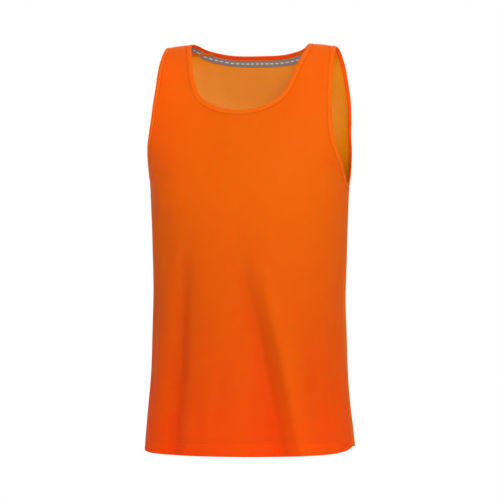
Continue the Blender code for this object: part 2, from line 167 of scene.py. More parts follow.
BAND_START = 0.0001  # a band's section starts this far from the finished edge
BAND_PROUD = 0.0005  # its outer face stands this far outside the panel
BAND_UNDER = 0.0016  # its inner face lies this far under the panel's outer wall
BAND_SQUARENESS = 3.4  # of its section, where 2 is an ellipse
BAND_CROWN = 0.0003  # its middle is raised this far
BAND_WOBBLE = 0.0001  # its own small unevenness
TAPE_FROM_BAND = 0.0003  # between the neckband and the tape
TAPE_UNDER = (0.0003, 0.0010)  # its two faces, under the panel's inner wall
TAPE_SQUARENESS = 7.0
TAPE_SIDES = 14  # vertices round its section
ALLOWANCE_WIDTH = 0.006  # of the overlocked cloth inside a seam
ALLOWANCE_ACROSS = 0.0010  # how far it passes the seam on the other side
ALLOWANCE_UNDER = (0.0001, 0.0013)  # its two faces, under the panel's inner wall
ALLOWANCE_SIDES = 12
ALLOWANCE_STATIONS = 220
ALLOWANCE_WOBBLE = 0.00008
ALLOWANCE_TOWARD = -1  # which side of its seam's curve it lies on: the back's
ALLOWANCE_LIFT = 0.0005  # it pushes the back panel out this far
ALLOWANCE_SLOPE = 0.002  # over this length, at each side of it

Stitching = collections.namedtuple("Stitching", "pitch length thickness slant")
RUNNING = Stitching(0.0030, 0.0025, 0.00038, 0.0)
OVERLOCK = Stitching(0.0026, 0.0062, 0.00032, 1.15)  # long slanting stitches, close together
ON_TAPE = Stitching(0.0030, 0.0022, 0.00032, 0.0)
THREAD_PROUD = 0.00004  # a stitch's middle lies this far outside the cloth
HEM_THREAD_UNDER, TAPE_THREAD_UNDER, SEAM_THREAD_UNDER = 0.0001, 0.00104, 0.0014  # and on the inside
TAPE_STITCH_ROWS = (0.0012, TAPE_WIDTH - 0.0010)  # from the neckband's seam
TAPE_STITCH_START, SEAM_STITCH_START = 0.002, 0.003  # short of the tape's and an allowance's end

COLUMNS = 54  # of each half panel, from the centre line to the side
BACK_NECK_COLUMNS = 27  # of them, those that start at the back's neck edge
FRONT_YOKE_ROWS = 96  # shoulder seam to underarm
BACK_YOKE_ROWS = 66
BODY_ROWS = 122  # underarm to the top of the hem
EDGE_STEPS = (0.0, 0.0006, 0.0012, 0.0019, 0.0028, 0.0040)  # vertices lie this far from a sewn edge
FRONT_ACROSS, BACK_ACROSS, BACK_DOWN, SHOULDER_LENGTH = 0.25, 0.125, 0.2, 0.05  # for those steps
HEM_FOLD_LINES = (0.0, 0.04, 0.12, 0.24, 0.40, 0.62)  # up from the edge, in doubled cloths
HEM_LEVEL_LINES = (0.0026, 0.0160, 8)  # first, last and number of the lines over the fold
STITCH_LINES = (-0.0012, -0.0005, 0.0, 0.0005, 0.0012)  # from a row of stitches
BAND_STATIONS = 260  # along half the neck, or half an armhole
BAND_SIDES = 22  # vertices round a band's section
HEM_STATIONS = 160  # along a quarter of the hem
CURVE_POINTS = 900  # of the fine polyline that an edge is measured on
UNDERSIDE = 0.02  # the chart of a ribbon's underside starts this far on
PATH_PIECES = 18  # straight pieces of a crease's path, where its distance is measured
TABLE_ROWS, TABLE_ANGLES = 641, 121  # of the tables of the cloth's distances

# Small creases. u runs round the body from the centre line, positive on the wearer's left, and each path
# passes through three places. Lean makes the side toward the larger u wider, or narrower if negative.
Crease = collections.namedtuple("Crease", "face u1 z1 u2 z2 u3 z3 depth half_width lean")
CREASES = (
    # front: chest and armholes
    Crease(FRONT, -0.180, -0.214, -0.150, -0.226, -0.108, -0.236, 0.0032, 0.010, 0.2),
    Crease(FRONT, 0.080, -0.233, 0.105, -0.230, 0.140, -0.231, 0.0016, 0.009, 0.0),
    Crease(FRONT, 0.160, -0.205, 0.185, -0.222, 0.220, -0.246, 0.0024, 0.010, 0.2),
    Crease(FRONT, 0.120, -0.262, 0.160, -0.272, 0.205, -0.300, 0.0015, 0.013, 0.0),
    Crease(FRONT, -0.205, -0.262, -0.170, -0.290, -0.128, -0.335, 0.0020, 0.013, 0.0),
    # front: the wide flanks of the two large folds
    Crease(FRONT, -0.080, -0.300, -0.110, -0.600, -0.126, -0.940, 0.0050, 0.026, 0.5),
    Crease(FRONT, 0.010, -0.320, 0.070, -0.640, 0.140, -0.960, 0.0045, 0.028, -0.5),
    Crease(FRONT, 0.050, -0.330, 0.108, -0.640, 0.172, -0.960, -0.0060, 0.026, 0.5),
    # front: waist and skirt
    Crease(FRONT, -0.134, -0.250, -0.133, -0.320, -0.128, -0.400, 0.0016, 0.016, 0.0),
    Crease(FRONT, -0.014, -0.530, -0.022, -0.615, -0.032, -0.700, 0.0026, 0.015, 0.2),
    Crease(FRONT, 0.030, -0.560, 0.036, -0.640, 0.044, -0.760, 0.0020, 0.013, 0.0),
    Crease(FRONT, -0.060, -0.600, -0.064, -0.660, -0.068, -0.760, 0.0018, 0.012, 0.0),
    Crease(FRONT, 0.175, -0.420, 0.186, -0.540, 0.190, -0.690, 0.0034, 0.017, 0.2),
    Crease(FRONT, -0.160, -0.400, -0.176, -0.520, -0.182, -0.680, 0.0030, 0.018, -0.2),
    Crease(FRONT, 0.005, -0.300, 0.020, -0.390, 0.030, -0.480, 0.0012, 0.020, 0.0),
    # back: armholes and shoulder blades
    Crease(BACK, -0.190, -0.226, -0.150, -0.246, -0.100, -0.262, 0.0028, 0.011, 0.2),
    Crease(BACK, 0.195, -0.222, 0.160, -0.250, 0.112, -0.284, 0.0024, 0.011, -0.2),
    Crease(BACK, -0.070, -0.120, -0.040, -0.150, 0.000, -0.164, 0.0012, 0.014, 0.0),
    Crease(BACK, 0.080, -0.180, 0.060, -0.220, 0.020, -0.250, 0.0013, 0.015, 0.0),
    # back: the hollow of the waist and the skirt
    Crease(BACK, -0.130, -0.330, -0.090, -0.352, -0.040, -0.360, 0.0018, 0.012, 0.0),
    Crease(BACK, 0.140, -0.352, 0.100, -0.366, 0.052, -0.372, 0.0016, 0.012, 0.0),
    Crease(BACK, -0.150, -0.380, -0.162, -0.520, -0.170, -0.700, 0.0036, 0.018, 0.2),
    Crease(BACK, 0.132, -0.420, 0.140, -0.560, 0.148, -0.760, 0.0040, 0.017, -0.2),
    Crease(BACK, -0.100, -0.520, -0.112, -0.630, -0.122, -0.760, 0.0022, 0.012, 0.0),
    Crease(BACK, 0.100, -0.560, 0.106, -0.650, 0.112, -0.760, 0.0018, 0.011, 0.0),
    Crease(BACK, 0.020, -0.560, 0.030, -0.640, 0.038, -0.760, -0.0016, 0.014, 0.0),
)

# Slow unevenness of the whole cloth: wavelengths round and down the body, a phase and a height
Wave = collections.namedtuple("Wave", "round down phase height")
WAVES = (
    Wave(0.210, 0.370, 0.4, 0.00055),
    Wave(-0.137, 0.290, 2.1, 0.00040),
    Wave(0.083, 0.173, 4.0, 0.00024),
    Wave(-0.061, 0.119, 1.3, 0.00015),
)

# ------- finishes

ORANGE_TOP = (0.890, 0.099, 0.002)  # smooth knit, at the shoulders, above the painted shade
ORANGE_PAINTED_SHADE = (0.680, 0.040, 0.002)  # painted shade: the knit's colour darker toward the hem and in the folds' troughs
MESH_OUT = (0.900, 0.140, 0.004)
# the mesh's wrong side, painted lighter and yellower than its right side to make up for the shade inside:
# painted light
MESH_IN_LIGHTENED = (0.800, 0.295, 0.004)
BAND_ORANGE = (0.760, 0.112, 0.003)
# the neckband's inner face, a darker copy of the band's colour: painted shade
BAND_IN_SHADED = (0.560, 0.068, 0.003)
KNIT_IN_LIGHTENED = (0.860, 0.170, 0.004)  # the smooth knit's wrong side, painted lighter and yellower than its right side to offset the redder shade inside: painted light
TAPE_GREY = (0.225, 0.222, 0.215)
TAPE_MARK = (0.760, 0.750, 0.740)
THREAD_ORANGE = (0.780, 0.105, 0.006)
THREAD_GREY = (0.260, 0.240, 0.230)

GLOW_RADIUS = (1.0, 0.08, 0.02)  # how far light spreads in the cloth, by colour
GLOW_SCALE = 0.02
SHEEN_TINT = (1.0, 0.42, 0.12)
GLOSS_TINT = (1.0, 0.55, 0.25)

PAINTED_SHADE_FALL, PAINTED_SHADE_START = 1.65, 0.41  # the front's painted shade deepens by this for each metre down, less the start
PAINTED_SHADE_IN_FOLDS = 0.25  # and by this where a fold presses in fully: painted shade
DYE_MOTTLE, DYE_MOTTLE_SCALE = 0.05, 38.0
MESH_MOTTLE_SCALE = 45.0
MESH_PALE = 0.93  # the mesh's darker patches keep this share of its colour

WALE, COURSE = 0.00092, 0.00074  # one stitch of the smooth knit
EYELET_PITCH, EYELET_ROW = 0.00365, 0.00275  # every other row is offset by half a pitch
EYELET_RADIUS = 0.00040
EYELET_EDGE = 0.00012  # half the width of its soft edge
EYELET_RING = 0.00116  # the knit sinks round an eyelet, out to this radius, and painted shade darkens it as far
EYELET_SLOPE = 0.0006
EYELET_PAINTED_SHADE = (0.24, 0.13, 0.10)  # painted shade in that dimple: what is left of the colour there
EYELET_PAINTED_SHADE_SHARE = 0.92  # and how much of that painted shade shows

TAPE_RIB = 0.0011  # one rib of the tape's herringbone, which turns at this place on its chart
TAPE_TURN = 0.0135
DASH_PITCH, DASH_HALF_HEIGHT, DASH_SOFT = 0.0086, 0.0011, 0.0003
DASH_HALF_LENGTH, DASH_END = 0.31, 0.04  # shares of the pitch

# ------- floor, light and camera

FLOOR_HEIGHT, FLOOR_RADIUS = -1.25, 6.0
CAMERA_AZIMUTH = 14.3
CAMERA_DISTANCE = 8.0
CAMERA_HEIGHT = -0.359
CAMERA_LENS = 330.5
CAMERA_SHIFT = 0.001
AMBIENT = 0.32

Lamp = collections.namedtuple("Lamp", "name place size power")
LAMPS = (
    Lamp("key", (1.5, -3.1, 1.15), 1.2, 131.0),
    Lamp("fill", (-3.2, -3.0, 0.6), 3.0, 11.0),
    Lamp("overhead", (0.0, 0.4, 3.2), 3.0, 26.0),
    Lamp("behind", (-1.2, 3.2, 1.2), 3.0, 120.0),
)


# ------- the body surface


def smoothstep(t):
    t = np.clip(t, 0.0, 1.0)
    return t * t * (3.0 - 2.0 * t)


def signed_rows():
    """The table's rows from the front hem over the shoulders to the back hem, one more past each end."""
    rows = []
    for number in range(-LAST_ROW, LAST_ROW + 1):
        s = SECTIONS[abs(number)]
        depth = s.back if number > 0 else -s.front
        rows.append((s.drop, s.half_width, depth, s.squareness, s.middle))
    rows = np.array(rows)
    return np.vstack([2 * rows[0] - rows[1], rows, 2 * rows[-1] - rows[-2]])


ROWS = signed_rows()


def section_at(row):
    """Drop, half width, signed depth, squareness and middle, on a smooth curve through the rows."""
    place = np.clip(row, -LAST_ROW, LAST_ROW) + LAST_ROW + 1
    start = np.minimum(np.floor(place).astype(int), 2 * LAST_ROW)
    t = (place - start)[..., None]
    a, b, c, d = (ROWS[start + step] for step in (-1, 0, 1, 2))
    curve = b + 0.5 * t * (c - a + t * (2 * a - 5 * b + 4 * c - d + t * (3 * (b - c) + d - a)))
    return np.moveaxis(curve, -1, 0)


def height(x, drop, depth, ahead):
    """Height of a ring's point: lower outside the neck point and, near the hem, toward the centre line."""
    shoulder = SHOULDER_FALL * np.maximum(x - NECK_HALF, 0.0) ** 2 * (1 - smoothstep(drop / FALL_END_DROP))
    low = ((drop - HEM_DIP_START) / (SECTIONS[-1].drop - HEM_DIP_START)).clip(0.0, 1.0)
    deepest = np.where(depth > 0, BACK_HEM_DIP, HEM_DIP)
    ahead = np.maximum(ahead, 0.0)
    dip = deepest * low**2 * (0.4 * ahead + 0.6 * (1 - (1 - ahead) ** 3))
    return -(drop + shoulder + dip)


def surface(angle, row):
    """Points of the smooth body surface, before its folds, on the wearer's left half."""
    drop, half_width, depth, squareness, middle = section_at(row)
    ahead, aside = np.cos(angle), np.sin(angle)
    reach = (np.abs(ahead) ** squareness + np.abs(aside) ** squareness) ** (-1 / squareness)
    x = half_width * reach * aside
    return np.stack([x, middle + depth * reach * ahead, height(x, drop, depth, ahead)], axis=-1)


def slopes(angle, row, step=1e-4):
    """How the surface moves with the angle and with the row."""
    by_angle = (surface(angle + step, row) - surface(angle - step, row)) / (2 * step)
    inside = np.clip(row, -LAST_ROW + step, LAST_ROW - step)
    by_row = (surface(angle, inside + step) - surface(angle, inside - step)) / (2 * step)
    return by_angle, by_row


def outward(angle, row):
    normal = np.cross(*slopes(angle, row))
    return normal / np.linalg.norm(normal, axis=-1, keepdims=True)


def measured_cloth():
    """Tables of the cloth's distance round from the centre line, and down from the shoulder's top."""
    rows = np.linspace(-LAST_ROW, LAST_ROW, TABLE_ROWS)
    angles = np.linspace(0.0, math.pi / 2, TABLE_ANGLES)
    places = surface(*np.meshgrid(angles, rows))
    across = np.linalg.norm(np.diff(places, axis=1), axis=2)
    along = np.linalg.norm(np.diff(places, axis=0), axis=2)
    round_body = np.pad(np.cumsum(across, axis=1), ((0, 0), (1, 0)))
    down = np.pad(np.cumsum(along, axis=0), ((1, 0), (0, 0)))
    return round_body, down - down[TABLE_ROWS // 2]


ROUND_BODY, DOWN_BODY = measured_cloth()


def look_up(table, angle, row):
    """A table's value between its rows and angles."""
    i = np.clip((row + LAST_ROW) / (2 * LAST_ROW) * (TABLE_ROWS - 1), 0, TABLE_ROWS - 1.001)
    j = np.clip(angle / (math.pi / 2) * (TABLE_ANGLES - 1), 0, TABLE_ANGLES - 1.001)
    i0, j0 = i.astype(int), j.astype(int)
    a, b = i - i0, j - j0
    upper = table[i0, j0] * (1 - b) + table[i0, j0 + 1] * b
    lower = table[i0 + 1, j0] * (1 - b) + table[i0 + 1, j0 + 1] * b
    return upper * (1 - a) + lower * a


# ------- folds and creases


def nearest(points, path):
    """Each point's distance from a path of straight pieces, its share along the path and its side of it."""
    start, along = path[:-1], np.diff(path, axis=0)
    offset = points[..., None, :] - start
    t = np.clip((offset * along).sum(-1) / (along**2).sum(-1), 0.0, 1.0)
    gap = offset - t[..., None] * along
    square = (gap**2).sum(-1)
    piece = square.argmin(-1)
    share = (piece + np.take_along_axis(t, piece[..., None], -1)[..., 0]) / len(start)
    return np.sqrt(square.min(-1)), share, piece, gap


def side_of(piece, gap, path):
    """1 where a point lies to the left of the path's nearest piece, seen along it, else -1."""
    along = np.diff(path, axis=0)[piece]
    gap = np.take_along_axis(gap, piece[..., None, None], -2)[..., 0, :]
    return np.sign(along[..., 0] * gap[..., 1] - along[..., 1] * gap[..., 0])


def fold_depth(face, x, z):
    """How far the large folds press the cloth in."""
    depth = np.zeros_like(x)
    for fold in FOLDS:
        t = np.clip((fold.top_z - z) / (fold.top_z - fold.bottom_z), 0.0, 1.0)
        bow = fold.middle_x - (fold.top_x + fold.bottom_x) / 2
        path = fold.top_x + (fold.bottom_x - fold.top_x) * t + 4 * bow * t * (1 - t)
        across = np.exp(-(((x - path) / (fold.half_width * (0.7 + 0.3 * t))) ** 2))
        along = smoothstep(t / 0.5) * (1 - (1 - fold.runs_out) * smoothstep(2 * t - 1))
        depth += np.where(face == fold.face, fold.depth * across * along, 0.0)
    return depth


def crease_depth(face, u, z):
    """How far the small creases press the cloth in. They fade out toward both ends."""
    depth = np.zeros_like(u)
    places = np.stack([u, z], axis=-1)
    for crease in CREASES:
        t = np.linspace(0.0, 1.0, PATH_PIECES + 1)[:, None]
        first, middle, last = np.array(crease[1:7]).reshape(3, 2)
        bow = 2 * middle - (first + last) / 2
        path = (1 - t) ** 2 * first + 2 * t * (1 - t) * bow + t**2 * last
        reach = np.ptp(path, axis=0) / 2 + 4 * crease.half_width
        near = np.all(np.abs(places - path.mean(0)) < reach, axis=-1) & (face == crease.face)
        if not near.any():
            continue
        distance, share, piece, gap = nearest(places[near], path)
        side = side_of(piece, gap, path)
        width = crease.half_width * (0.65 + 0.35 * np.sin(math.pi * share)) * (1 + crease.lean * side)
        ends = smoothstep(share / CREASE_FADE) * smoothstep((1 - share) / CREASE_FADE)
        depth[near] += crease.depth * ends * np.exp(-((distance / width) ** 2))
    return depth


def pressed_in(face, points, u):
    """How far the folds and the creases together press the cloth in at these points of the surface."""
    return fold_depth(face, points[..., 0], points[..., 2]) + crease_depth(face, u, points[..., 2])


def unevenness(face, u, v):
    """Heights of the slow waves."""
    total = np.zeros_like(u)
    for wave in WAVES:
        total += wave.height * np.sin(2 * math.pi * (u / wave.round + v / wave.down) + wave.phase + face)
    return total


def cloth(angle, row, side, lift=0.0):
    """Points on the creased cloth, the directions out of it, and its flat coordinates in metres."""
    mirror = np.array([side, 1.0, 1.0])
    normals = outward(angle, row) * mirror
    points = surface(angle, row) * mirror
    u = look_up(ROUND_BODY, angle, row) * side
    v = look_up(DOWN_BODY, angle, row)
    face = np.sign(row)
    below_top = smoothstep(np.abs(v) / WAVES_GROW)
    lift = lift - pressed_in(face, points, u) + unevenness(face, u, v) * below_top
    return points + normals * lift[..., None], normals, np.stack([u, v], axis=-1)


# ------- the edges of the cut


def row_at_height(face, z, place):
    """The row where the surface has this height, at the angle that place gives for a row. 0 on the top."""
    if face == TOP:
        return 0.0
    low, high = 0.0, float(LAST_ROW)
    for _ in range(50):
        row = face * (low + high) / 2
        above = surface(np.array(place(row)), np.array(row))[2] > z
        low, high = (abs(row), high) if above else (low, abs(row))
    return row


def angle_at_x(row, x):
    half_width, squareness = section_at(np.array(row))[[1, 3]]
    aside = x / half_width
    return math.atan2(aside, (1 - aside**squareness) ** (1 / squareness))


def smooth_curve(points, mirror_angle_at_start, mirror_angle_at_end):
    """A fine polyline through points, each an angle and a row, square to the body's two mirror lines."""
    before = (2 * mirror_angle_at_start - points[1][0], points[1][1])
    after = (2 * mirror_angle_at_end - points[-2][0], points[-2][1])
    points = np.array([before, *points, after])
    places = surface(points[:, 0], points[:, 1])
    chords = np.linalg.norm(np.diff(places, axis=0), axis=1)
    knots = np.concatenate([[0.0], np.cumsum(chords)])
    rates = np.gradient(points, knots, axis=0)
    at = np.linspace(knots[1], knots[-2], CURVE_POINTS)
    start = np.clip(np.searchsorted(knots, at, side="right") - 1, 1, len(knots) - 3)
    span = (knots[start + 1] - knots[start])[:, None]
    t = (at - knots[start])[:, None] / span
    near = (1 + 2 * t) * (1 - t) ** 2 * points[start] + t * (1 - t) ** 2 * span * rates[start]
    far = t * t * (3 - 2 * t) * points[start + 1] - t * t * (1 - t) * span * rates[start + 1]
    return near + far


def neckline():
    points = []
    for point in NECKLINE:
        row = row_at_height(point.face, point.z, lambda row, x=point.x: angle_at_x(row, x))
        points.append((angle_at_x(row, point.x), row))
    return smooth_curve(points, 0.0, 0.0)


def armhole():
    points = []
    for point in ARMHOLE:
        angle = math.radians(point.degrees)
        row = row_at_height(point.face, point.z, lambda row, angle=angle: angle)
        points.append((angle, row))
    return smooth_curve(points, math.pi / 2, math.pi / 2)


def inset(curve, distance, toward):
    """The curve moved by a distance along the surface. Toward is 1 for the neckline, -1 for an armhole."""
    angle, row = curve[:, 0], curve[:, 1]
    along = np.gradient(surface(angle, row), axis=0)
    sideways = np.cross(along, outward(angle, row)) * toward
    sideways *= distance / np.linalg.norm(sideways, axis=1, keepdims=True)
    by_angle, by_row = slopes(angle, row)
    aa, rr, ar = (by_angle**2).sum(1), (by_row**2).sum(1), (by_angle * by_row).sum(1)
    a, r = (by_angle * sideways).sum(1), (by_row * sideways).sum(1)
    scale = aa * rr - ar * ar
    moved = np.stack([angle + (a * rr - r * ar) / scale, row + (r * aa - a * ar) / scale], axis=1)
    moved[[0, -1], 0] = curve[[0, -1], 0]
    return moved


def lengths(curve):
    """Distance of each point of a curve from its start, along the cloth."""
    steps = np.linalg.norm(np.diff(surface(curve[:, 0], curve[:, 1]), axis=0), axis=1)
    return np.concatenate([[0.0], np.cumsum(steps)])


def read(curve, share):
    """Angles and rows at these shares of the curve's points."""
    place = np.linspace(0.0, 1.0, len(curve))
    return np.interp(share, place, curve[:, 0]), np.interp(share, place, curve[:, 1])


def share_at(curve, distance):
    """Shares of the curve's points at these distances from its start."""
    return np.interp(distance, lengths(curve), np.linspace(0.0, 1.0, len(curve)))


NECK_CURVE, ARM_CURVE = neckline(), armhole()


def seam_distance(curve, set_back):
    """Distance along the curve from its start at the front to the shoulder seam."""
    return np.interp(0.0, curve[:, 1], lengths(curve)) + set_back


NECK_SEAM = seam_distance(NECK_CURVE, SEAM_SET_BACK_NECK)
ARM_SEAM = seam_distance(ARM_CURVE, SEAM_SET_BACK_ARM)


# ------- panels


def graded(count, length, near=False, far=False):
    """Shares of a line of this length where its vertices lie, close together beside a sewn end."""
    steps = np.array(EDGE_STEPS) / length
    start = steps if near else steps[:1]
    end = 1 - (steps if far else steps[:1])[::-1]
    inner = np.linspace(start[-1], end[0], count + 1)[1:-1]
    return np.concatenate([start, inner, end])


def side_angle():
    """The angle of a panel's side edge, just past the side."""
    return math.pi / 2 + SEAM_LAP / 2 / SECTIONS[LAST_ROW // 2].front


def panel_edge(curve, distance, width, toward):
    """Angles and rows of a panel's edge, just under a band of this width."""
    return read(inset(curve, width - SEAM_LAP, toward), share_at(curve, distance))


def front_yoke():
    """Angles and rows of half the front above the underarm, in rows from the neck to the armhole."""
    down = graded(FRONT_YOKE_ROWS, ARM_SEAM, near=True)
    half_lap = SEAM_LAP / 2
    neck_angle, neck_row = panel_edge(NECK_CURVE, (NECK_SEAM + half_lap) * (1 - down), NECKBAND_WIDTH, 1)
    arm_angle, arm_row = panel_edge(ARM_CURVE, (ARM_SEAM + half_lap) * (1 - down), ARMBAND_WIDTH, -1)
    arm_angle = np.minimum(arm_angle, side_angle())
    across = graded(COLUMNS, FRONT_ACROSS, near=True, far=True)
    sag = UNDERARM_SAG * down[:, None]
    angle = neck_angle[:, None] + (arm_angle - neck_angle)[:, None] * across
    row = neck_row[:, None] + (arm_row - neck_row)[:, None] * across * (1 + sag - sag * across)
    return angle, row


def back_yoke():
    """The same for the back, in level rows from the centre line to the armhole, below neck and seam."""
    down = graded(BACK_YOKE_ROWS, BACK_DOWN, near=True)
    arm_length, neck_length = lengths(ARM_CURVE)[-1], lengths(NECK_CURVE)[-1]
    arm_start, neck_start = ARM_SEAM - SEAM_LAP / 2, NECK_SEAM - SEAM_LAP / 2
    arm_distance = arm_start + (arm_length - arm_start) * down
    arm_angle, arm_row = panel_edge(ARM_CURVE, arm_distance, ARMBAND_WIDTH, -1)
    arm_angle = np.minimum(arm_angle, side_angle())
    neck_distance = np.linspace(neck_length, neck_start, BACK_NECK_COLUMNS + 1)
    neck_angle, neck_row = panel_edge(NECK_CURVE, neck_distance, NECKBAND_WIDTH, 1)
    seam = graded(COLUMNS - BACK_NECK_COLUMNS, SHOULDER_LENGTH, far=True)
    seam_angle = neck_angle[-1] + (arm_angle[0] - neck_angle[-1]) * seam
    seam_row = neck_row[-1] + (arm_row[0] - neck_row[-1]) * seam
    upper = np.array([[*neck_angle[:-1], *seam_angle], [*neck_row[:-1], *seam_row]])
    centre_row = neck_row[0] + (arm_row[-1] + BACK_SAG - neck_row[0]) * down
    centre = np.array([np.zeros_like(down), centre_row])
    neck_share = np.linspace(0.0, 0.5, BACK_NECK_COLUMNS + 1)[:-1]
    seam_share = 0.5 + 0.5 * graded(COLUMNS - BACK_NECK_COLUMNS, BACK_ACROSS, far=True)
    across = np.concatenate([neck_share, seam_share])
    lower = np.array([arm_angle[-1] * across, centre_row[-1] - BACK_SAG * across**3])
    return blend_edges(upper, lower, centre, np.array([arm_angle, arm_row]), down[:, None], across)


def blend_edges(upper, lower, centre, arm, down, across):
    """A grid between four edges, each of its lines passing evenly from one edge's shape to the other's."""
    between_sides = centre[:, :, None] * (1 - across) + arm[:, :, None] * across
    between_ends = upper[:, None, :] * (1 - down) + lower[:, None, :] * down
    top = upper[:, None, :1] * (1 - across) + upper[:, None, -1:] * across
    bottom = lower[:, None, :1] * (1 - across) + lower[:, None, -1:] * across
    return between_sides + between_ends - top * (1 - down) - bottom * down


def rows_in(length):
    """Rows that a length of cloth spans near the hem."""
    return length / (SECTIONS[-1].drop - SECTIONS[-2].drop)


def hem_lines():
    """Distances up from the hem's edge where rows of vertices lie, close at the fold and the stitches."""
    fold = HEM_CLOTH * np.array(HEM_FOLD_LINES)
    level = np.linspace(*HEM_LEVEL_LINES)
    stitched = [row + offset for row in HEM_STITCH_ROWS for offset in STITCH_LINES]
    step = [HEM_DEPTH, HEM_DEPTH + HEM_STEP]
    return np.sort(np.concatenate([fold, level, stitched, step, [HEM_SEWING]]))


def half_panel(face):
    """Angles and rows of half a panel's grid, and each vertex's distance up from the hem's edge."""
    angle, row = front_yoke() if face == FRONT else back_yoke()
    lines = hem_lines()
    start = np.abs(row[-1])
    body = LAST_ROW - start
    above = np.linspace(0.0, 1.0, BODY_ROWS + 1)[1:-1, None] * (body - rows_in(lines[-1])) + start
    hem = LAST_ROW - rows_in(lines)[::-1, None] * np.ones_like(body)
    row = np.vstack([row, face * above, face * hem])
    angle = np.vstack([angle, np.broadcast_to(angle[-1], (len(row) - len(angle), len(body)))])
    return angle, row, (LAST_ROW - np.abs(row)) / rows_in(1.0)


def seam_turn(distance):
    """How far a cut edge has turned in, at this distance from its seam."""
    return SEAM_TURN * np.exp(-((distance / SEAM_TURN_REACH) ** 2))


def stitch_sink(distance):
    """How far stitches pull the cloth in, this far from them."""
    return STITCH_SINK * np.exp(-((distance / STITCH_SINK_REACH) ** 2))


def puckers(u, v, phase):
    """Small uneven waves that a seam's thread draws up."""
    wander = 0.7 * np.sin(u / 0.019 + phase) + 0.5 * np.sin(v / 0.023 + 2 * phase)
    return np.sin((u + v) / 0.0034 + wander) * (0.6 + 0.4 * np.sin((u - v) / 0.0131 + phase))


def edge_distances(face, smooth):
    """How far half a panel's vertices lie from its side, its shoulder seam and its nearest band."""
    yoke = yoke_rows(face) + 1
    side = nearest(smooth, smooth[:, -1])[0]
    if face == FRONT:
        neck, shoulder = smooth[:yoke, 0], smooth[0, :]
    else:
        neck, shoulder = smooth[0, : BACK_NECK_COLUMNS + 1], smooth[0, BACK_NECK_COLUMNS:]
    neck, shoulder, arm = (nearest(smooth, edge)[0] for edge in (neck, shoulder, smooth[:yoke, -1]))
    return side, shoulder, np.minimum(neck, arm)


def yoke_rows(face):
    """Rows of vertices of a panel above the underarm."""
    return (FRONT_YOKE_ROWS if face == FRONT else BACK_YOKE_ROWS) + len(EDGE_STEPS) - 1


def panel_walls(face, side):
    """Both walls of half a panel, its directions out and flat chart, where it is doubled, and how deep its
    folds press in, which sets the painted shade in the folds.
    """
    angle, row, up = half_panel(face)
    smooth = surface(angle, row)
    side_edge, shoulder_edge, banded = edge_distances(face, smooth)
    sewn = np.minimum(np.minimum(side_edge, shoulder_edge), banded)
    _, _, flat = cloth(angle, row, side)
    u, v = flat[..., 0], flat[..., 1]
    hem_stitches = sum(stitch_sink(up - line) for line in HEM_STITCH_ROWS)
    in_hem = smoothstep((HEM_DEPTH + HEM_STEP - up) / HEM_STEP)
    lift = -seam_turn(sewn) - stitch_sink(banded - TOPSTITCH) - hem_stitches
    lift += PUCKER * puckers(u, v, face + side) * np.exp(-banded / PUCKER_REACH)
    hem_pull = np.exp(-np.abs(up - HEM_SEWING) / HEM_PUCKER_REACH)
    lift += HEM_PUCKER * PUCKER * puckers(1.3 * u, 0.4 * v, 2 + face) * hem_pull
    if face == BACK:
        over = smoothstep((ALLOWANCE_WIDTH + ALLOWANCE_SLOPE - side_edge) / ALLOWANCE_SLOPE)
        on_body = np.arange(len(row))[:, None] > yoke_rows(face)
        lift += ALLOWANCE_LIFT * (smoothstep(side_edge / ALLOWANCE_SLOPE) * over) * on_body
    wall = CLOTH + (HEM_CLOTH - CLOTH) * in_hem
    inner_lift = np.minimum(np.minimum(lift, 0.0) * INNER_SINK - wall, lift - THINNEST * CLOTH)
    radius = HEM_CLOTH / 2
    turned = np.clip((radius - up) / radius, 0.0, 1.0)
    fold = radius * (1 - np.sqrt(1 - 0.998 * turned**2))  # just short of a half circle, to keep a rim
    outer, normals, _ = cloth(angle, row, side, lift - fold)
    inner, _, _ = cloth(angle, row, side, inner_lift + fold)
    # how deep the folds and creases press in, which sets the painted shade in the folds
    pressed = pressed_in(np.sign(row), smooth * np.array([side, 1.0, 1.0]), u)
    return outer, inner, normals, flat, in_hem, np.clip(pressed / PAINTED_SHADE_FOLD_DEPTH, -1.0, 1.0)


def add_panel_half(shape, face, side, kept, chart):
    """Adds half a panel's outer wall. Each vertex keeps its place on the inner wall for later."""
    outer, inner, normals, flat, in_hem, painted_fold_shade = panel_walls(face, side)
    vertices = [[shape.verts.new(point) for point in line] for line in outer]
    for line, *values in zip(vertices, inner, in_hem, painted_fold_shade):
        for vertex, *own in zip(line, *values):
            for layer, value in zip(kept, own):
                vertex[layer] = value
    turns = np.cross(outer[1:, :-1] - outer[:-1, :-1], outer[:-1, 1:] - outer[:-1, :-1])
    flipped = (turns * normals[:-1, :-1]).sum() < 0
    for i in range(len(vertices) - 1):
        for j in range(len(vertices[0]) - 1):
            corners = [(i, j), (i + 1, j), (i + 1, j + 1), (i, j + 1)]
            if flipped:
                corners.reverse()
            quad = shape.faces.new([vertices[a][b] for a, b in corners])
            for loop, (a, b) in zip(quad.loops, corners):
                loop[chart].uv = flat[a, b]


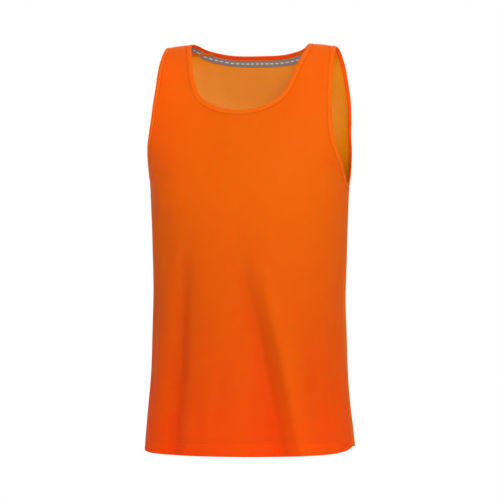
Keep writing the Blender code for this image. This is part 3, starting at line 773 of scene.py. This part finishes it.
def add_inner_wall(shape, kept, chart):
    """Closes an open cloth with its inner wall and the rims between."""
    twins = {vertex: shape.verts.new(vertex[kept[0]]) for vertex in list(shape.verts)}
    for vertex, twin in twins.items():
        for layer in kept[1:]:
            twin[layer] = vertex[layer]
    rims = [edge.link_loops[0] for edge in shape.edges if edge.is_boundary]
    for face in list(shape.faces):
        loops = list(face.loops)[::-1]
        twin = shape.faces.new([twins[loop.vert] for loop in loops])
        twin.material_index = 1
        for new, old in zip(twin.loops, loops):
            new[chart].uv = old[chart].uv
    for loop in rims:
        following = loop.link_loop_next
        corners = (following, loop, loop, following)
        a, b = loop.vert, following.vert
        rim = shape.faces.new([b, a, twins[a], twins[b]])
        for new, old in zip(rim.loops, corners):
            new[chart].uv = old[chart].uv


def add_object(name, data):
    made = bpy.data.objects.new(name, data)
    bpy.context.scene.collection.objects.link(made)
    return made


def finish_piece(name, shape, materials, sharp=60):
    """Makes a bmesh into a finished piece at the origin."""
    mesh = bpy.data.meshes.new(name)
    shape.to_mesh(mesh)
    shape.free()
    mesh.shade_smooth()
    mesh.set_sharp_from_angle(angle=math.radians(sharp))
    for material in materials:
        mesh.materials.append(material)
    return add_object(name, mesh)


def panel(name, face, materials):
    """The front or the back: two halves joined down the centre line, with both walls of the cloth."""
    shape = bmesh.new()
    layers = shape.verts.layers
    layers.float_vector.new("inside")
    layers.float.new("in_hem")
    # how deep the folds press in, for the painted shade in the folds
    layers.float.new("painted_fold_shade")
    kept = layers.float_vector["inside"], layers.float["in_hem"], layers.float["painted_fold_shade"]
    chart = shape.loops.layers.uv.new("cloth")
    for side in (1, -1):
        add_panel_half(shape, face, side, kept, chart)
    bmesh.ops.remove_doubles(shape, verts=shape.verts, dist=0.00001)
    add_inner_wall(shape, kept, chart)
    return finish_piece(name, shape, materials)


# ------- bands, tape and seam allowances


def rounded_profile(start, end, outer, inner, sides, squareness=4.0, crown=0.0):
    """Points round a flat ribbon's section: distance from the edge curve, and lift from the cloth."""
    turn = np.linspace(0.0, 2 * math.pi, sides, endpoint=False)
    across = np.sign(np.cos(turn)) * np.abs(np.cos(turn)) ** (2 / squareness)
    over = np.sign(np.sin(turn)) * np.abs(np.sin(turn)) ** (2 / squareness)
    width = (start + end) / 2 - (end - start) / 2 * across
    lift = (outer + inner) / 2 + (outer - inner) / 2 * over
    lift += crown * np.maximum(over, 0.0) * (1 - across**2)
    return np.stack([width, lift], axis=1)


def ribbon_grid(curve, shares, toward, side, profile, wobble=0.0):
    """Points and flat coordinates of a ribbon: a row for each share of the curve."""
    distance = np.interp(shares, np.linspace(0.0, 1.0, len(curve)), lengths(curve))
    columns, charts = [], []
    for width, lift in profile:
        angle, row = read(inset(curve, width, toward), shares)
        ripple = wobble * puckers(distance * 0.9, width * 3.0 * np.ones_like(distance), side)
        points, _, _ = cloth(angle, row, side, lift + ripple)
        columns.append(points)
        across = np.full_like(distance, width + (UNDERSIDE if lift < 0 else 0.0))
        charts.append(np.stack([distance, across], axis=1))
    return np.stack(columns, axis=1), np.stack(charts, axis=1)


def ribbon(name, grid, chart_grid, materials, closed, inner_columns=()):
    """A tube along a path, closed into a ring or with its two ends capped."""
    shape = bmesh.new()
    chart = shape.loops.layers.uv.new("cloth")
    vertices = [[shape.verts.new(point) for point in line] for line in grid]
    count, sides = len(grid), len(grid[0])
    for i in range(count if closed else count - 1):
        for j in range(sides):
            corners = [(i, j), (i + 1, j), (i + 1, j + 1), (i, j + 1)]
            quad = shape.faces.new([vertices[a % count][b % sides] for a, b in corners])
            quad.material_index = int(j in inner_columns)
            for loop, (a, b) in zip(quad.loops, corners):
                loop[chart].uv = chart_grid[min(a, count - 1)][b % sides]
    if not closed:
        shape.faces.new(vertices[0])
        shape.faces.new(vertices[-1][::-1])
    if shape.calc_volume(signed=True) < 0:
        bmesh.ops.reverse_faces(shape, faces=shape.faces)
    return finish_piece(name, shape, materials, sharp=70)


def facing_in(profile, slack=0.0002):
    """Numbers of the section's sides that face the body."""
    lifts = profile[:, 1]
    return np.flatnonzero((lifts + np.roll(lifts, -1)) / 2 < lifts.mean() - slack)


def band_profile(width):
    return rounded_profile(
        BAND_START, width, BAND_PROUD, -BAND_UNDER, BAND_SIDES, BAND_SQUARENESS, BAND_CROWN
    )


def joined(left, right, closed):
    """The wearer's left half of a neck piece and then its right half, back from the centre line."""
    return np.concatenate([left, right[-2:0:-1] if closed else right[-2::-1]])


def neck_ribbon(name, stations, start, profile, materials, closed, wobble=0.0, inner_columns=()):
    """A ribbon along the neckline, from this distance on the left over the back to the right."""
    shares = share_at(NECK_CURVE, np.linspace(start, lengths(NECK_CURVE)[-1], stations + 1))
    left, chart = ribbon_grid(NECK_CURVE, shares, 1, 1, profile, wobble)
    right, _ = ribbon_grid(NECK_CURVE, shares, 1, -1, profile, wobble)
    onward = chart.copy()
    onward[..., 0] = 2 * chart[-1, 0, 0] - chart[..., 0]
    grid, charts = joined(left, right, closed), joined(chart, onward, closed)
    return ribbon(name, grid, charts, materials, closed, inner_columns)


def neckband(materials):
    """The folded strip round the neck, one closed ring."""
    profile = band_profile(NECKBAND_WIDTH)
    inner = facing_in(profile)
    return neck_ribbon("neckband_strip", BAND_STATIONS, 0.0, profile, materials, True, BAND_WOBBLE, inner)


def tape_start():
    """Distance along the neckline where the tape starts."""
    return np.interp(TAPE_START_ROW, NECK_CURVE[:, 1], lengths(NECK_CURVE))


def neck_tape(materials):
    """The tape inside the back neck, over the neckband's seam, from shoulder to shoulder."""
    upper = NECKBAND_WIDTH + TAPE_FROM_BAND
    faces = (-CLOTH - under for under in TAPE_UNDER)
    profile = rounded_profile(upper, upper + TAPE_WIDTH, *faces, TAPE_SIDES, TAPE_SQUARENESS)
    return neck_ribbon("neck_tape_strip", BAND_STATIONS // 2, tape_start(), profile, materials, False)


def armhole_binding(name, side, materials):
    """The folded strip round one armhole, a closed ring that meets itself at the underarm."""
    distance = np.linspace(0.0, lengths(ARM_CURVE)[-1], 2 * BAND_STATIONS + 1)[:-1]
    shares = share_at(ARM_CURVE, distance)
    grid, chart = ribbon_grid(ARM_CURVE, shares, -1, side, band_profile(ARMBAND_WIDTH), BAND_WOBBLE)
    return ribbon(name, grid, chart, materials, True)


def shoulder_seam():
    """The shoulder seam's curve, from the neck to the armhole."""
    neck = np.array(read(NECK_CURVE, share_at(NECK_CURVE, NECK_SEAM)))
    arm = np.array(read(ARM_CURVE, share_at(ARM_CURVE, ARM_SEAM)))
    share = np.linspace(0.0, 1.0, CURVE_POINTS)[:, None]
    return neck * (1 - share) + arm * share


def side_seam():
    """The side seam's curve, from the armhole to the top of the hem's turned-up layer."""
    row = np.linspace(ARM_CURVE[-1, 1], LAST_ROW - rows_in(HEM_DEPTH), CURVE_POINTS)
    return np.stack([np.full_like(row, math.pi / 2), row], axis=1)


def seam_allowance(name, curve, bands, side, materials):
    """The overlocked edges of a seam, laid against the back panel's inner wall between two bands."""
    faces = (-CLOTH - under for under in ALLOWANCE_UNDER)
    profile = rounded_profile(-ALLOWANCE_ACROSS, ALLOWANCE_WIDTH, *faces, ALLOWANCE_SIDES)
    distance = np.linspace(bands[0], lengths(curve)[-1] - bands[1], ALLOWANCE_STATIONS)
    shares = share_at(curve, distance)
    grid, chart = ribbon_grid(curve, shares, ALLOWANCE_TOWARD, side, profile, ALLOWANCE_WOBBLE)
    return ribbon(name, grid, chart, materials, False)


# ------- node trees


def operator(operation, reflected=False):
    """A method that adds the Math node of one of Python's operators."""

    def act(self, other):
        first, second = (other, self) if reflected else (self, other)
        return self.nodes.wire("ShaderNodeMath", {"operation": operation}, {0: first, 1: second})

    return act


class Wire:
    """A node's output that Python's operators work on."""

    __add__ = __radd__ = operator("ADD")
    __mul__ = __rmul__ = operator("MULTIPLY")
    __sub__, __rsub__ = operator("SUBTRACT"), operator("SUBTRACT", reflected=True)
    __truediv__, __rtruediv__ = operator("DIVIDE"), operator("DIVIDE", reflected=True)
    __pow__ = operator("POWER")

    def __init__(self, nodes, socket):
        self.nodes = nodes
        self.socket = socket

    def math(self, operation, *others):
        return self.nodes.wire("ShaderNodeMath", {"operation": operation}, dict(enumerate((self, *others))))

    def fract(self):
        return self.math("FRACT")

    def sin(self):
        return self.math("SINE")

    def abs(self):
        return self.math("ABSOLUTE")

    def floor(self):
        return self.math("FLOOR")

    def clamped(self):
        return self.math("MINIMUM", 1.0).math("MAXIMUM", 0.0)


class Nodes:
    """A node tree that is written by calls: one method makes every node."""

    def __init__(self, tree):
        self.tree = tree

    def node(self, kind, settings=None, values=None):
        """A node of this type. Its settings are set first, then the values or links of its sockets."""
        made = self.tree.nodes.new(kind)
        for name, value in (settings or {}).items():
            setattr(made, name, value)
        for name, value in (values or {}).items():
            if isinstance(value, Wire):
                self.tree.links.new(value.socket, made.inputs[name])
            else:
                made.inputs[name].default_value = value
        return made

    def wire(self, kind, settings=None, values=None, output=0):
        return Wire(self, self.node(kind, settings, values).outputs[output])

    def blend(self, factor, first, second):
        """Two colours mixed by a factor."""
        settings = {"data_type": "RGBA"}
        return self.wire("ShaderNodeMix", settings, {0: factor, 6: first, 7: second}, 2)

    def split(self, vector):
        parts = self.node("ShaderNodeSeparateXYZ", values={0: vector})
        return [Wire(self, output) for output in parts.outputs]

    def attribute(self, name):
        return self.wire("ShaderNodeAttribute", {"attribute_name": name}, output=2)

    def object_place(self):
        return self.wire("ShaderNodeTexCoord", output=3)

    def connect(self, wire, shader, name):
        self.tree.links.new(wire.socket, shader.inputs[name])


def opaque(colour, share=1.0):
    """A colour with full alpha, darkened to a share of itself."""
    return (*(share * c for c in colour), 1.0)


# ------- materials


def principled(name):
    material = bpy.data.materials.new(name)
    material.use_nodes = True
    return material, material.node_tree.nodes["Principled BSDF"]


def fabric(name, roughness, translucence=0.6, sheen=0.03, specular=0.06):
    """A cloth's material, its builder and its shader, with what is the same all over set on its sockets."""
    material, shader = principled(name)
    values = {
        "Roughness": roughness,
        "Specular IOR Level": specular,
        "Specular Tint": opaque(GLOSS_TINT),
        "Subsurface Weight": translucence,
        "Subsurface Radius": GLOW_RADIUS,
        "Subsurface Scale": GLOW_SCALE,
        "Sheen Weight": sheen,
        "Sheen Roughness": 0.5,
        "Sheen Tint": opaque(SHEEN_TINT),
    }
    for socket, value in values.items():
        shader.inputs[socket].default_value = value
    return material, Nodes(material.node_tree), shader


def flat_place(nodes):
    """Metres round and down the flat cloth, from the piece's own UV map."""
    chart = nodes.wire("ShaderNodeUVMap", {"uv_map": "cloth"})
    u, v, _ = nodes.split(chart)
    return u, v, chart


def knit_relief(u, v, wale=WALE, course=COURSE):
    """Heights of plain knit: two slanted legs to each stitch."""
    across = (u / wale).fract()
    leg = ((across * 2).fract() * math.pi).sin()
    slant = (across - 0.5).abs() * 1.1
    rise = ((v / course + slant) * (2 * math.pi)).sin()
    return leg * (rise * 0.35 + 0.65)


def mottle(nodes, chart, scale, low, high):
    """A slow variation between two factors."""
    values = {"Vector": chart, "Scale": scale, "Detail": 3.0, "Roughness": 0.6}
    noise = nodes.wire("ShaderNodeTexNoise", {}, values)
    return nodes.wire("ShaderNodeMapRange", {}, {0: noise, 1: 0.3, 2: 0.7, 3: low, 4: high})


def orange_with_painted_shade(nodes, chart, top, low):
    """Painted shade on the orange: darker toward the hem, darker in the folds' troughs and lighter on their
    ridges, with a faint random mottle of the dye.
    """
    _, _, z = nodes.split(nodes.object_place())
    # painted shade, darker down toward the hem
    down = (z * -PAINTED_SHADE_FALL - PAINTED_SHADE_START).clamped()
    uneven = mottle(nodes, chart, DYE_MOTTLE_SCALE, -DYE_MOTTLE, DYE_MOTTLE)
    painted_shade = (down + uneven + nodes.attribute("painted_fold_shade") * PAINTED_SHADE_IN_FOLDS).clamped()
    return nodes.blend(painted_shade, opaque(top), opaque(low))


def bumped(nodes, shader, relief, strength, distance):
    values = {"Height": relief, "Strength": strength, "Distance": distance}
    nodes.connect(nodes.wire("ShaderNodeBump", {}, values), shader, "Normal")


def smooth_knit(name, top, low):
    """Fine plain knit. Its colour carries painted shade: darker between the knit's legs and, where top and
    low differ, darker toward the hem and in the folds' troughs.
    """
    material, nodes, shader = fabric(name, 0.60)
    u, v, chart = flat_place(nodes)
    relief = knit_relief(u, v)
    colour = orange_with_painted_shade(nodes, chart, top, low)
    # darker between the knit's legs: painted shade
    shaded = nodes.blend((relief * 0.5 + 0.5).clamped(), opaque(top, 0.86), colour)
    nodes.connect(nodes.blend(0.3, colour, shaded), shader, "Base Color")
    bumped(nodes, shader, relief, 0.35, 0.0002)
    return material


def eyelet_mesh(name, colour, closed_by=None):
    """Knit with small staggered eyelets that go through, save where this attribute is 1. The dimple round
    each eyelet is darkened with painted shade.
    """
    material, nodes, shader = fabric(name, 0.64, translucence=0.2)
    u, v, chart = flat_place(nodes)
    stagger = ((v / EYELET_ROW).floor() * 0.5).fract()
    across = ((u / EYELET_PITCH + stagger).fract() - 0.5) * EYELET_PITCH
    along = ((v / EYELET_ROW).fract() - 0.5) * EYELET_ROW
    away = (across * across + along * along) ** 0.5
    solid = ((away - (EYELET_RADIUS - EYELET_EDGE)) / (2 * EYELET_EDGE)).clamped()
    if closed_by:
        solid = solid.math("MAXIMUM", nodes.attribute(closed_by))
    dimple_and_painted_shade = ((EYELET_RING - away) / EYELET_SLOPE).clamped()
    relief = knit_relief(u, v, EYELET_PITCH / 4, EYELET_ROW / 4) * 0.35 - dimple_and_painted_shade
    uneven = mottle(nodes, chart, MESH_MOTTLE_SCALE, 0.0, 1.0)
    dye = nodes.blend(uneven, opaque(colour), opaque(colour, MESH_PALE))
    # each eyelet's dimple darkened: painted shade
    shade = [left * c for left, c in zip(EYELET_PAINTED_SHADE, colour)]
    nodes.connect(nodes.blend(dimple_and_painted_shade * EYELET_PAINTED_SHADE_SHARE, dye, opaque(shade)), shader, "Base Color")
    nodes.connect(solid, shader, "Alpha")
    bumped(nodes, shader, relief, 0.5, 0.0003)
    return material


def woven_tape():
    """Grey herringbone tape with a row of small pale dashes along its middle."""
    material, nodes, shader = fabric("grey neck tape", 0.72, 0.0, 0.05, 0.3)
    u, v, chart = flat_place(nodes)
    weave = ((u + (v - TAPE_TURN).abs()) / TAPE_RIB * (2 * math.pi)).sin() * 0.5 + 0.5
    middle = NECKBAND_WIDTH + TAPE_WIDTH / 2
    from_middle = ((v / UNDERSIDE).fract() * UNDERSIDE - middle).abs()
    in_row = ((DASH_HALF_HEIGHT - from_middle) / DASH_SOFT).clamped()
    from_dash = ((u / DASH_PITCH).fract() - 0.5).abs()
    in_dash = ((DASH_HALF_LENGTH - from_dash) / DASH_END).clamped()
    ground = nodes.blend(weave * 0.35, opaque(TAPE_GREY), opaque(TAPE_GREY, 0.72))
    nodes.connect(nodes.blend(in_row * in_dash, ground, opaque(TAPE_MARK)), shader, "Base Color")
    bumped(nodes, shader, weave, 0.4, 0.0002)
    return material


def thread(name, colour):
    """Twisted polyester thread, a little glossier than the cloth."""
    material, nodes, shader = fabric(name, 0.45, 0.2, 0.1, 0.4)
    tone = nodes.wire("ShaderNodeTexNoise", {}, {"Vector": nodes.object_place(), "Scale": 900.0})
    nodes.connect(nodes.blend(tone, opaque(colour, 0.8), opaque(colour)), shader, "Base Color")
    return material


# ------- sewing by Geometry Nodes


def stitch_tree():
    """Lays stitches on a path: its points' normals say which way is out of the cloth."""
    tree = bpy.data.node_groups.new("stitches", "GeometryNodeTree")
    tree.is_modifier = True
    face = tree.interface
    face.new_socket("Path", in_out="INPUT", socket_type="NodeSocketGeometry")
    for name in ("Pitch", "Length", "Thickness", "Slant"):
        face.new_socket(name, in_out="INPUT", socket_type="NodeSocketFloat")
    face.new_socket("Thread", in_out="INPUT", socket_type="NodeSocketMaterial")
    face.new_socket("Sewing", in_out="OUTPUT", socket_type="NodeSocketGeometry")
    nodes = Nodes(tree)
    given = nodes.node("NodeGroupInput")
    path, pitch, length, thickness, slant, material = (Wire(nodes, given.outputs[n]) for n in range(6))
    line = nodes.wire("GeometryNodeMeshToCurve", {}, {"Mesh": path})
    values = {"Curve": line, "Length": pitch}
    points = nodes.wire("GeometryNodeResampleCurve", {"mode": "LENGTH"}, values)
    ball = nodes.wire("GeometryNodeMeshUVSphere", {}, {"Segments": 8, "Rings": 5, "Radius": 0.5})
    size = nodes.wire("ShaderNodeCombineXYZ", {}, {0: length, 1: thickness, 2: thickness})
    stitch = nodes.wire("GeometryNodeTransform", {}, {"Geometry": ball, "Scale": size})
    out = nodes.wire("GeometryNodeInputNamedAttribute", {"data_type": "FLOAT_VECTOR"}, {"Name": "out"})
    tangent = nodes.wire("GeometryNodeInputTangent")
    align = "FunctionNodeAlignRotationToVector"
    upright = nodes.wire(align, {"axis": "Z"}, {"Vector": out})
    settings, values = {"axis": "X", "pivot_axis": "Z"}, {"Rotation": upright, "Vector": tangent}
    along = nodes.wire(align, settings, values)
    turn = nodes.wire("ShaderNodeCombineXYZ", {}, {2: slant})
    by = nodes.wire("FunctionNodeEulerToRotation", {}, {"Euler": turn})
    settings, values = {"rotation_space": "LOCAL"}, {"Rotation": along, "Rotate By": by}
    turned = nodes.wire("FunctionNodeRotateRotation", settings, values)
    values = {"Points": points, "Instance": stitch, "Rotation": turned}
    sewn = nodes.wire("GeometryNodeInstanceOnPoints", {}, values)
    real = nodes.wire("GeometryNodeRealizeInstances", {}, {"Geometry": sewn})
    smooth = nodes.wire("GeometryNodeSetShadeSmooth", {}, {"Geometry": real})
    done = nodes.wire("GeometryNodeSetMaterial", {}, {"Geometry": smooth, "Material": material})
    nodes.node("NodeGroupOutput", values={0: done})
    return tree


def path_object(name, paths):
    """A mesh of edges along some paths. Each path is points, directions out, and whether it is closed."""
    mesh = bpy.data.meshes.new(name)
    points, normals, edges = [], [], []
    for places, directions, closed in paths:
        first, count = len(points), len(places)
        points += [tuple(place) for place in places]
        normals += [tuple(direction) for direction in directions]
        edges += [(first + n, first + n + 1) for n in range(count - 1)]
        if closed:
            edges.append((first + count - 1, first))
    mesh.from_pydata(points, edges, [])
    out = mesh.attributes.new("out", "FLOAT_VECTOR", "POINT")
    out.data.foreach_set("vector", np.array(normals, dtype=np.float32).ravel())
    return add_object(name, mesh)


def sew(name, tree, paths, stitching, material):
    """Runs the stitch tree on some paths and returns the stitches as one plain mesh."""
    line = path_object(name + "_path", paths)
    modifier = line.modifiers.new("sewing", "NODES")
    modifier.node_group = tree
    given = {field.capitalize(): value for field, value in stitching._asdict().items()}
    given["Thread"] = material
    for item in tree.interface.items_tree:
        if item.item_type == "SOCKET" and item.in_out == "INPUT" and item.name in given:
            modifier[item.identifier] = given[item.name]
    line.update_tag()
    bpy.context.view_layer.update()
    seen = line.evaluated_get(bpy.context.evaluated_depsgraph_get())
    mesh = bpy.data.meshes.new_from_object(seen)
    mesh.name = name
    line.modifiers.remove(modifier)
    bpy.data.objects.remove(line)
    return add_object(name, mesh)


def edge_path(curve, width, toward, side, lift, start=0.0, end=None):
    """Points and directions out beside an edge curve, between two distances along it."""
    end = lengths(curve)[-1] if end is None else end
    shares = share_at(curve, np.linspace(start, end, CURVE_POINTS // 2))
    points, normals, _ = cloth(*read(inset(curve, width, toward), shares), side, lift)
    return points, normals


def neck_path(width, lift, start, closed):
    """Points and directions out beside the neckline, on the left and then on the right."""
    halves = (edge_path(NECK_CURVE, width, 1, side, lift, start) for side in (1, -1))
    return [joined(left, right, closed) for left, right in zip(*halves)]


def neck_ring(width, lift):
    """A closed path round the neck, this far from its finished edge."""
    return *neck_path(width, lift, 0.0, True), True


def arm_ring(side, width, lift):
    """A closed path round an armhole, this far from its finished edge."""
    points, normals = edge_path(ARM_CURVE, width, -1, side, lift)
    return points[:-1], normals[:-1], True


def hem_ring(up, lift):
    """A closed path round the hem, this far up from its edge."""
    angle = np.linspace(0.0, math.pi / 2, HEM_STATIONS)
    points, normals = [], []
    for face, side, step in ((FRONT, 1, 1), (BACK, 1, -1), (BACK, -1, 1), (FRONT, -1, -1)):
        row = np.full_like(angle, face * (LAST_ROW - rows_in(up)))
        places, directions, _ = cloth(angle, row, side, lift)
        points.append(places[::step][:-1])
        normals.append(directions[::step][:-1])
    return np.vstack(points), np.vstack(normals), True


# ------- the stage


def stage():
    """A pale floor well below the hem, soft light and the camera at the photograph's angle."""
    floor_shape = bmesh.new()
    bmesh.ops.create_circle(floor_shape, cap_ends=True, radius=FLOOR_RADIUS, segments=96)
    floor = finish_piece("floor", floor_shape, [pale_floor()])
    floor.location.z = FLOOR_HEIGHT
    for lamp in LAMPS:
        soft_light(*lamp)
    studio_world()
    seat_camera()
    bpy.context.scene.view_settings.view_transform = "Standard"


def pale_floor():
    material, shader = principled("pale floor")
    shader.inputs["Base Color"].default_value = (0.9, 0.9, 0.9, 1.0)
    shader.inputs["Roughness"].default_value = 0.9
    return material


def soft_light(name, place, size, power):
    """A square lamp that looks at the middle of the garment."""
    data = bpy.data.lights.new(name, "AREA")
    data.size = size
    data.energy = power
    lamp = add_object(name, data)
    lamp.location = place
    aim = lamp.location.copy()
    aim.z -= CAMERA_HEIGHT
    lamp.rotation_euler = aim.to_track_quat("Z", "Y").to_euler()


def studio_world():
    """White behind the garment, and a softer white all round as its light."""
    world = bpy.data.worlds.new("studio")
    world.use_nodes = True
    nodes = Nodes(world.node_tree)
    ground = world.node_tree.nodes["Background"]
    ground.inputs["Color"].default_value = (1.0, 1.0, 1.0, 1.0)
    seen = nodes.wire("ShaderNodeLightPath")
    nodes.connect(seen * (1.0 - AMBIENT) + AMBIENT, ground, "Strength")
    bpy.context.scene.world = world


def seat_camera():
    data = bpy.data.cameras.new("camera")
    data.lens = CAMERA_LENS
    data.sensor_width = 36.0
    data.shift_x = CAMERA_SHIFT
    data.clip_end = 100.0
    camera = add_object("camera", data)
    turn = math.radians(CAMERA_AZIMUTH)
    across, ahead = CAMERA_DISTANCE * math.sin(turn), -CAMERA_DISTANCE * math.cos(turn)
    camera.location = (across, ahead, CAMERA_HEIGHT)
    camera.rotation_euler = (math.pi / 2, 0.0, turn)
    bpy.context.scene.camera = camera


# ------- the garment


def wear(piece, slot_name, *nodes):
    """The piece rides on the garment's one body and stands for its solids. Its slot's name is not used."""
    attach(piece, "root")
    if nodes:
        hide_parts(*nodes)
    return piece


def tape_path(width):
    """Along the inner side of the neck tape, from shoulder to shoulder."""
    start = tape_start() + TAPE_STITCH_START
    points, normals = neck_path(width, -CLOTH - TAPE_THREAD_UNDER, start, False)
    return points, -normals, False


def allowance_path(curve, bands, side):
    """Along the middle of a seam allowance, on the side that faces the wearer."""
    ends = bands[0] + SEAM_STITCH_START, lengths(curve)[-1] - bands[1] - SEAM_STITCH_START
    lift = -CLOTH - SEAM_THREAD_UNDER
    points, normals = edge_path(curve, ALLOWANCE_WIDTH / 2, ALLOWANCE_TOWARD, side, lift, *ends)
    return points, -normals, False


def make_sewing(seams, orange, grey):
    """All the thread: a list of pieces for each of the panels, bands and tape that it is sewn to."""
    tree = stitch_tree()
    arm_width = ARMBAND_WIDTH + TOPSTITCH
    hem_rows = [hem_ring(up, THREAD_PROUD) for up in HEM_STITCH_ROWS]
    under_hem = [hem_ring(HEM_SEWING, -HEM_CLOTH - HEM_THREAD_UNDER)]
    neck_row = [neck_ring(NECKBAND_WIDTH + TOPSTITCH, THREAD_PROUD)]
    tape_rows = [tape_path(NECKBAND_WIDTH + row) for row in TAPE_STITCH_ROWS]
    hem = [sew("hem_twin_stitch", tree, hem_rows, RUNNING, orange)]
    hem.append(sew("hem_cover_stitch", tree, under_hem, OVERLOCK, orange))
    overlock = [sew("seam_overlock", tree, [allowance_path(*seam) for seam in seams], OVERLOCK, orange)]
    neck = [sew("neck_topstitch", tree, neck_row, RUNNING, orange)]
    left, right = (
        [sew(f"armhole_topstitch_{word}", tree, [arm_ring(side, arm_width, THREAD_PROUD)], RUNNING, orange)]
        for word, side in SIDES
    )
    tape = [wear(sew("tape_stitch", tree, tape_rows, ON_TAPE, grey), "neck_tape")]
    for piece in hem + overlock + neck + left + right:
        wear(piece, "band_knit")
    return hem, overlock, neck, tape, left, right


def garment():
    """Every piece of the singlet, worn, with its sewing."""
    # the front's knit, with painted shade toward the hem and in the folds
    knit = smooth_knit("smooth orange knit", ORANGE_TOP, ORANGE_PAINTED_SHADE)
    # the wrong side, painted lighter to offset the shade inside: painted light
    knit_inside_lightened = smooth_knit("smooth orange knit, inside, painted lighter", KNIT_IN_LIGHTENED, KNIT_IN_LIGHTENED)
    mesh_outside = eyelet_mesh("orange eyelet mesh", MESH_OUT)
    # the wrong side, painted lighter to make up for the shade inside: painted light
    mesh_inside_lightened = eyelet_mesh("orange eyelet mesh, inside, painted lighter", MESH_IN_LIGHTENED, closed_by="in_hem")
    band = smooth_knit("orange band knit", BAND_ORANGE, BAND_ORANGE)
    # the neckband's inner face, painted darker: painted shade
    band_inside_shaded = smooth_knit("orange band knit, inside, painted shade", BAND_IN_SHADED, BAND_IN_SHADED)
    orange, grey = thread("orange thread", THREAD_ORANGE), thread("grey thread", THREAD_GREY)
    front = wear(panel("front_panel", FRONT, [knit, knit_inside_lightened]), "smooth_knit", "front")
    back = wear(panel("back_panel", BACK, [mesh_outside, mesh_inside_lightened]), "eyelet_mesh", "back")
    neck = wear(neckband([band, band_inside_shaded]), "band_knit", "neckband")
    tape = wear(neck_tape([woven_tape()]), "neck_tape", "neck_tape")
    arms, seams, allowances = [], [], []
    for word, side in SIDES:
        name = "armhole_binding_" + word
        arms.append(wear(armhole_binding(name + "_strip", side, [band]), "band_knit", name))
        shoulder = (shoulder_seam(), (NECKBAND_WIDTH, ARMBAND_WIDTH), side)
        down_side = (side_seam(), (ARMBAND_WIDTH, 0.0), side)
        for place, seam in (("shoulder", shoulder), ("side", down_side)):
            strip = seam_allowance(f"{place}_seam_allowance_{word}", *seam, [knit_inside_lightened])
            allowances.append(wear(strip, "smooth_knit"))
            seams.append(seam)
    hem, overlock, neck_sewing, tape_sewing, *arm_sewing = make_sewing(seams, orange, grey)


stage()
garment()
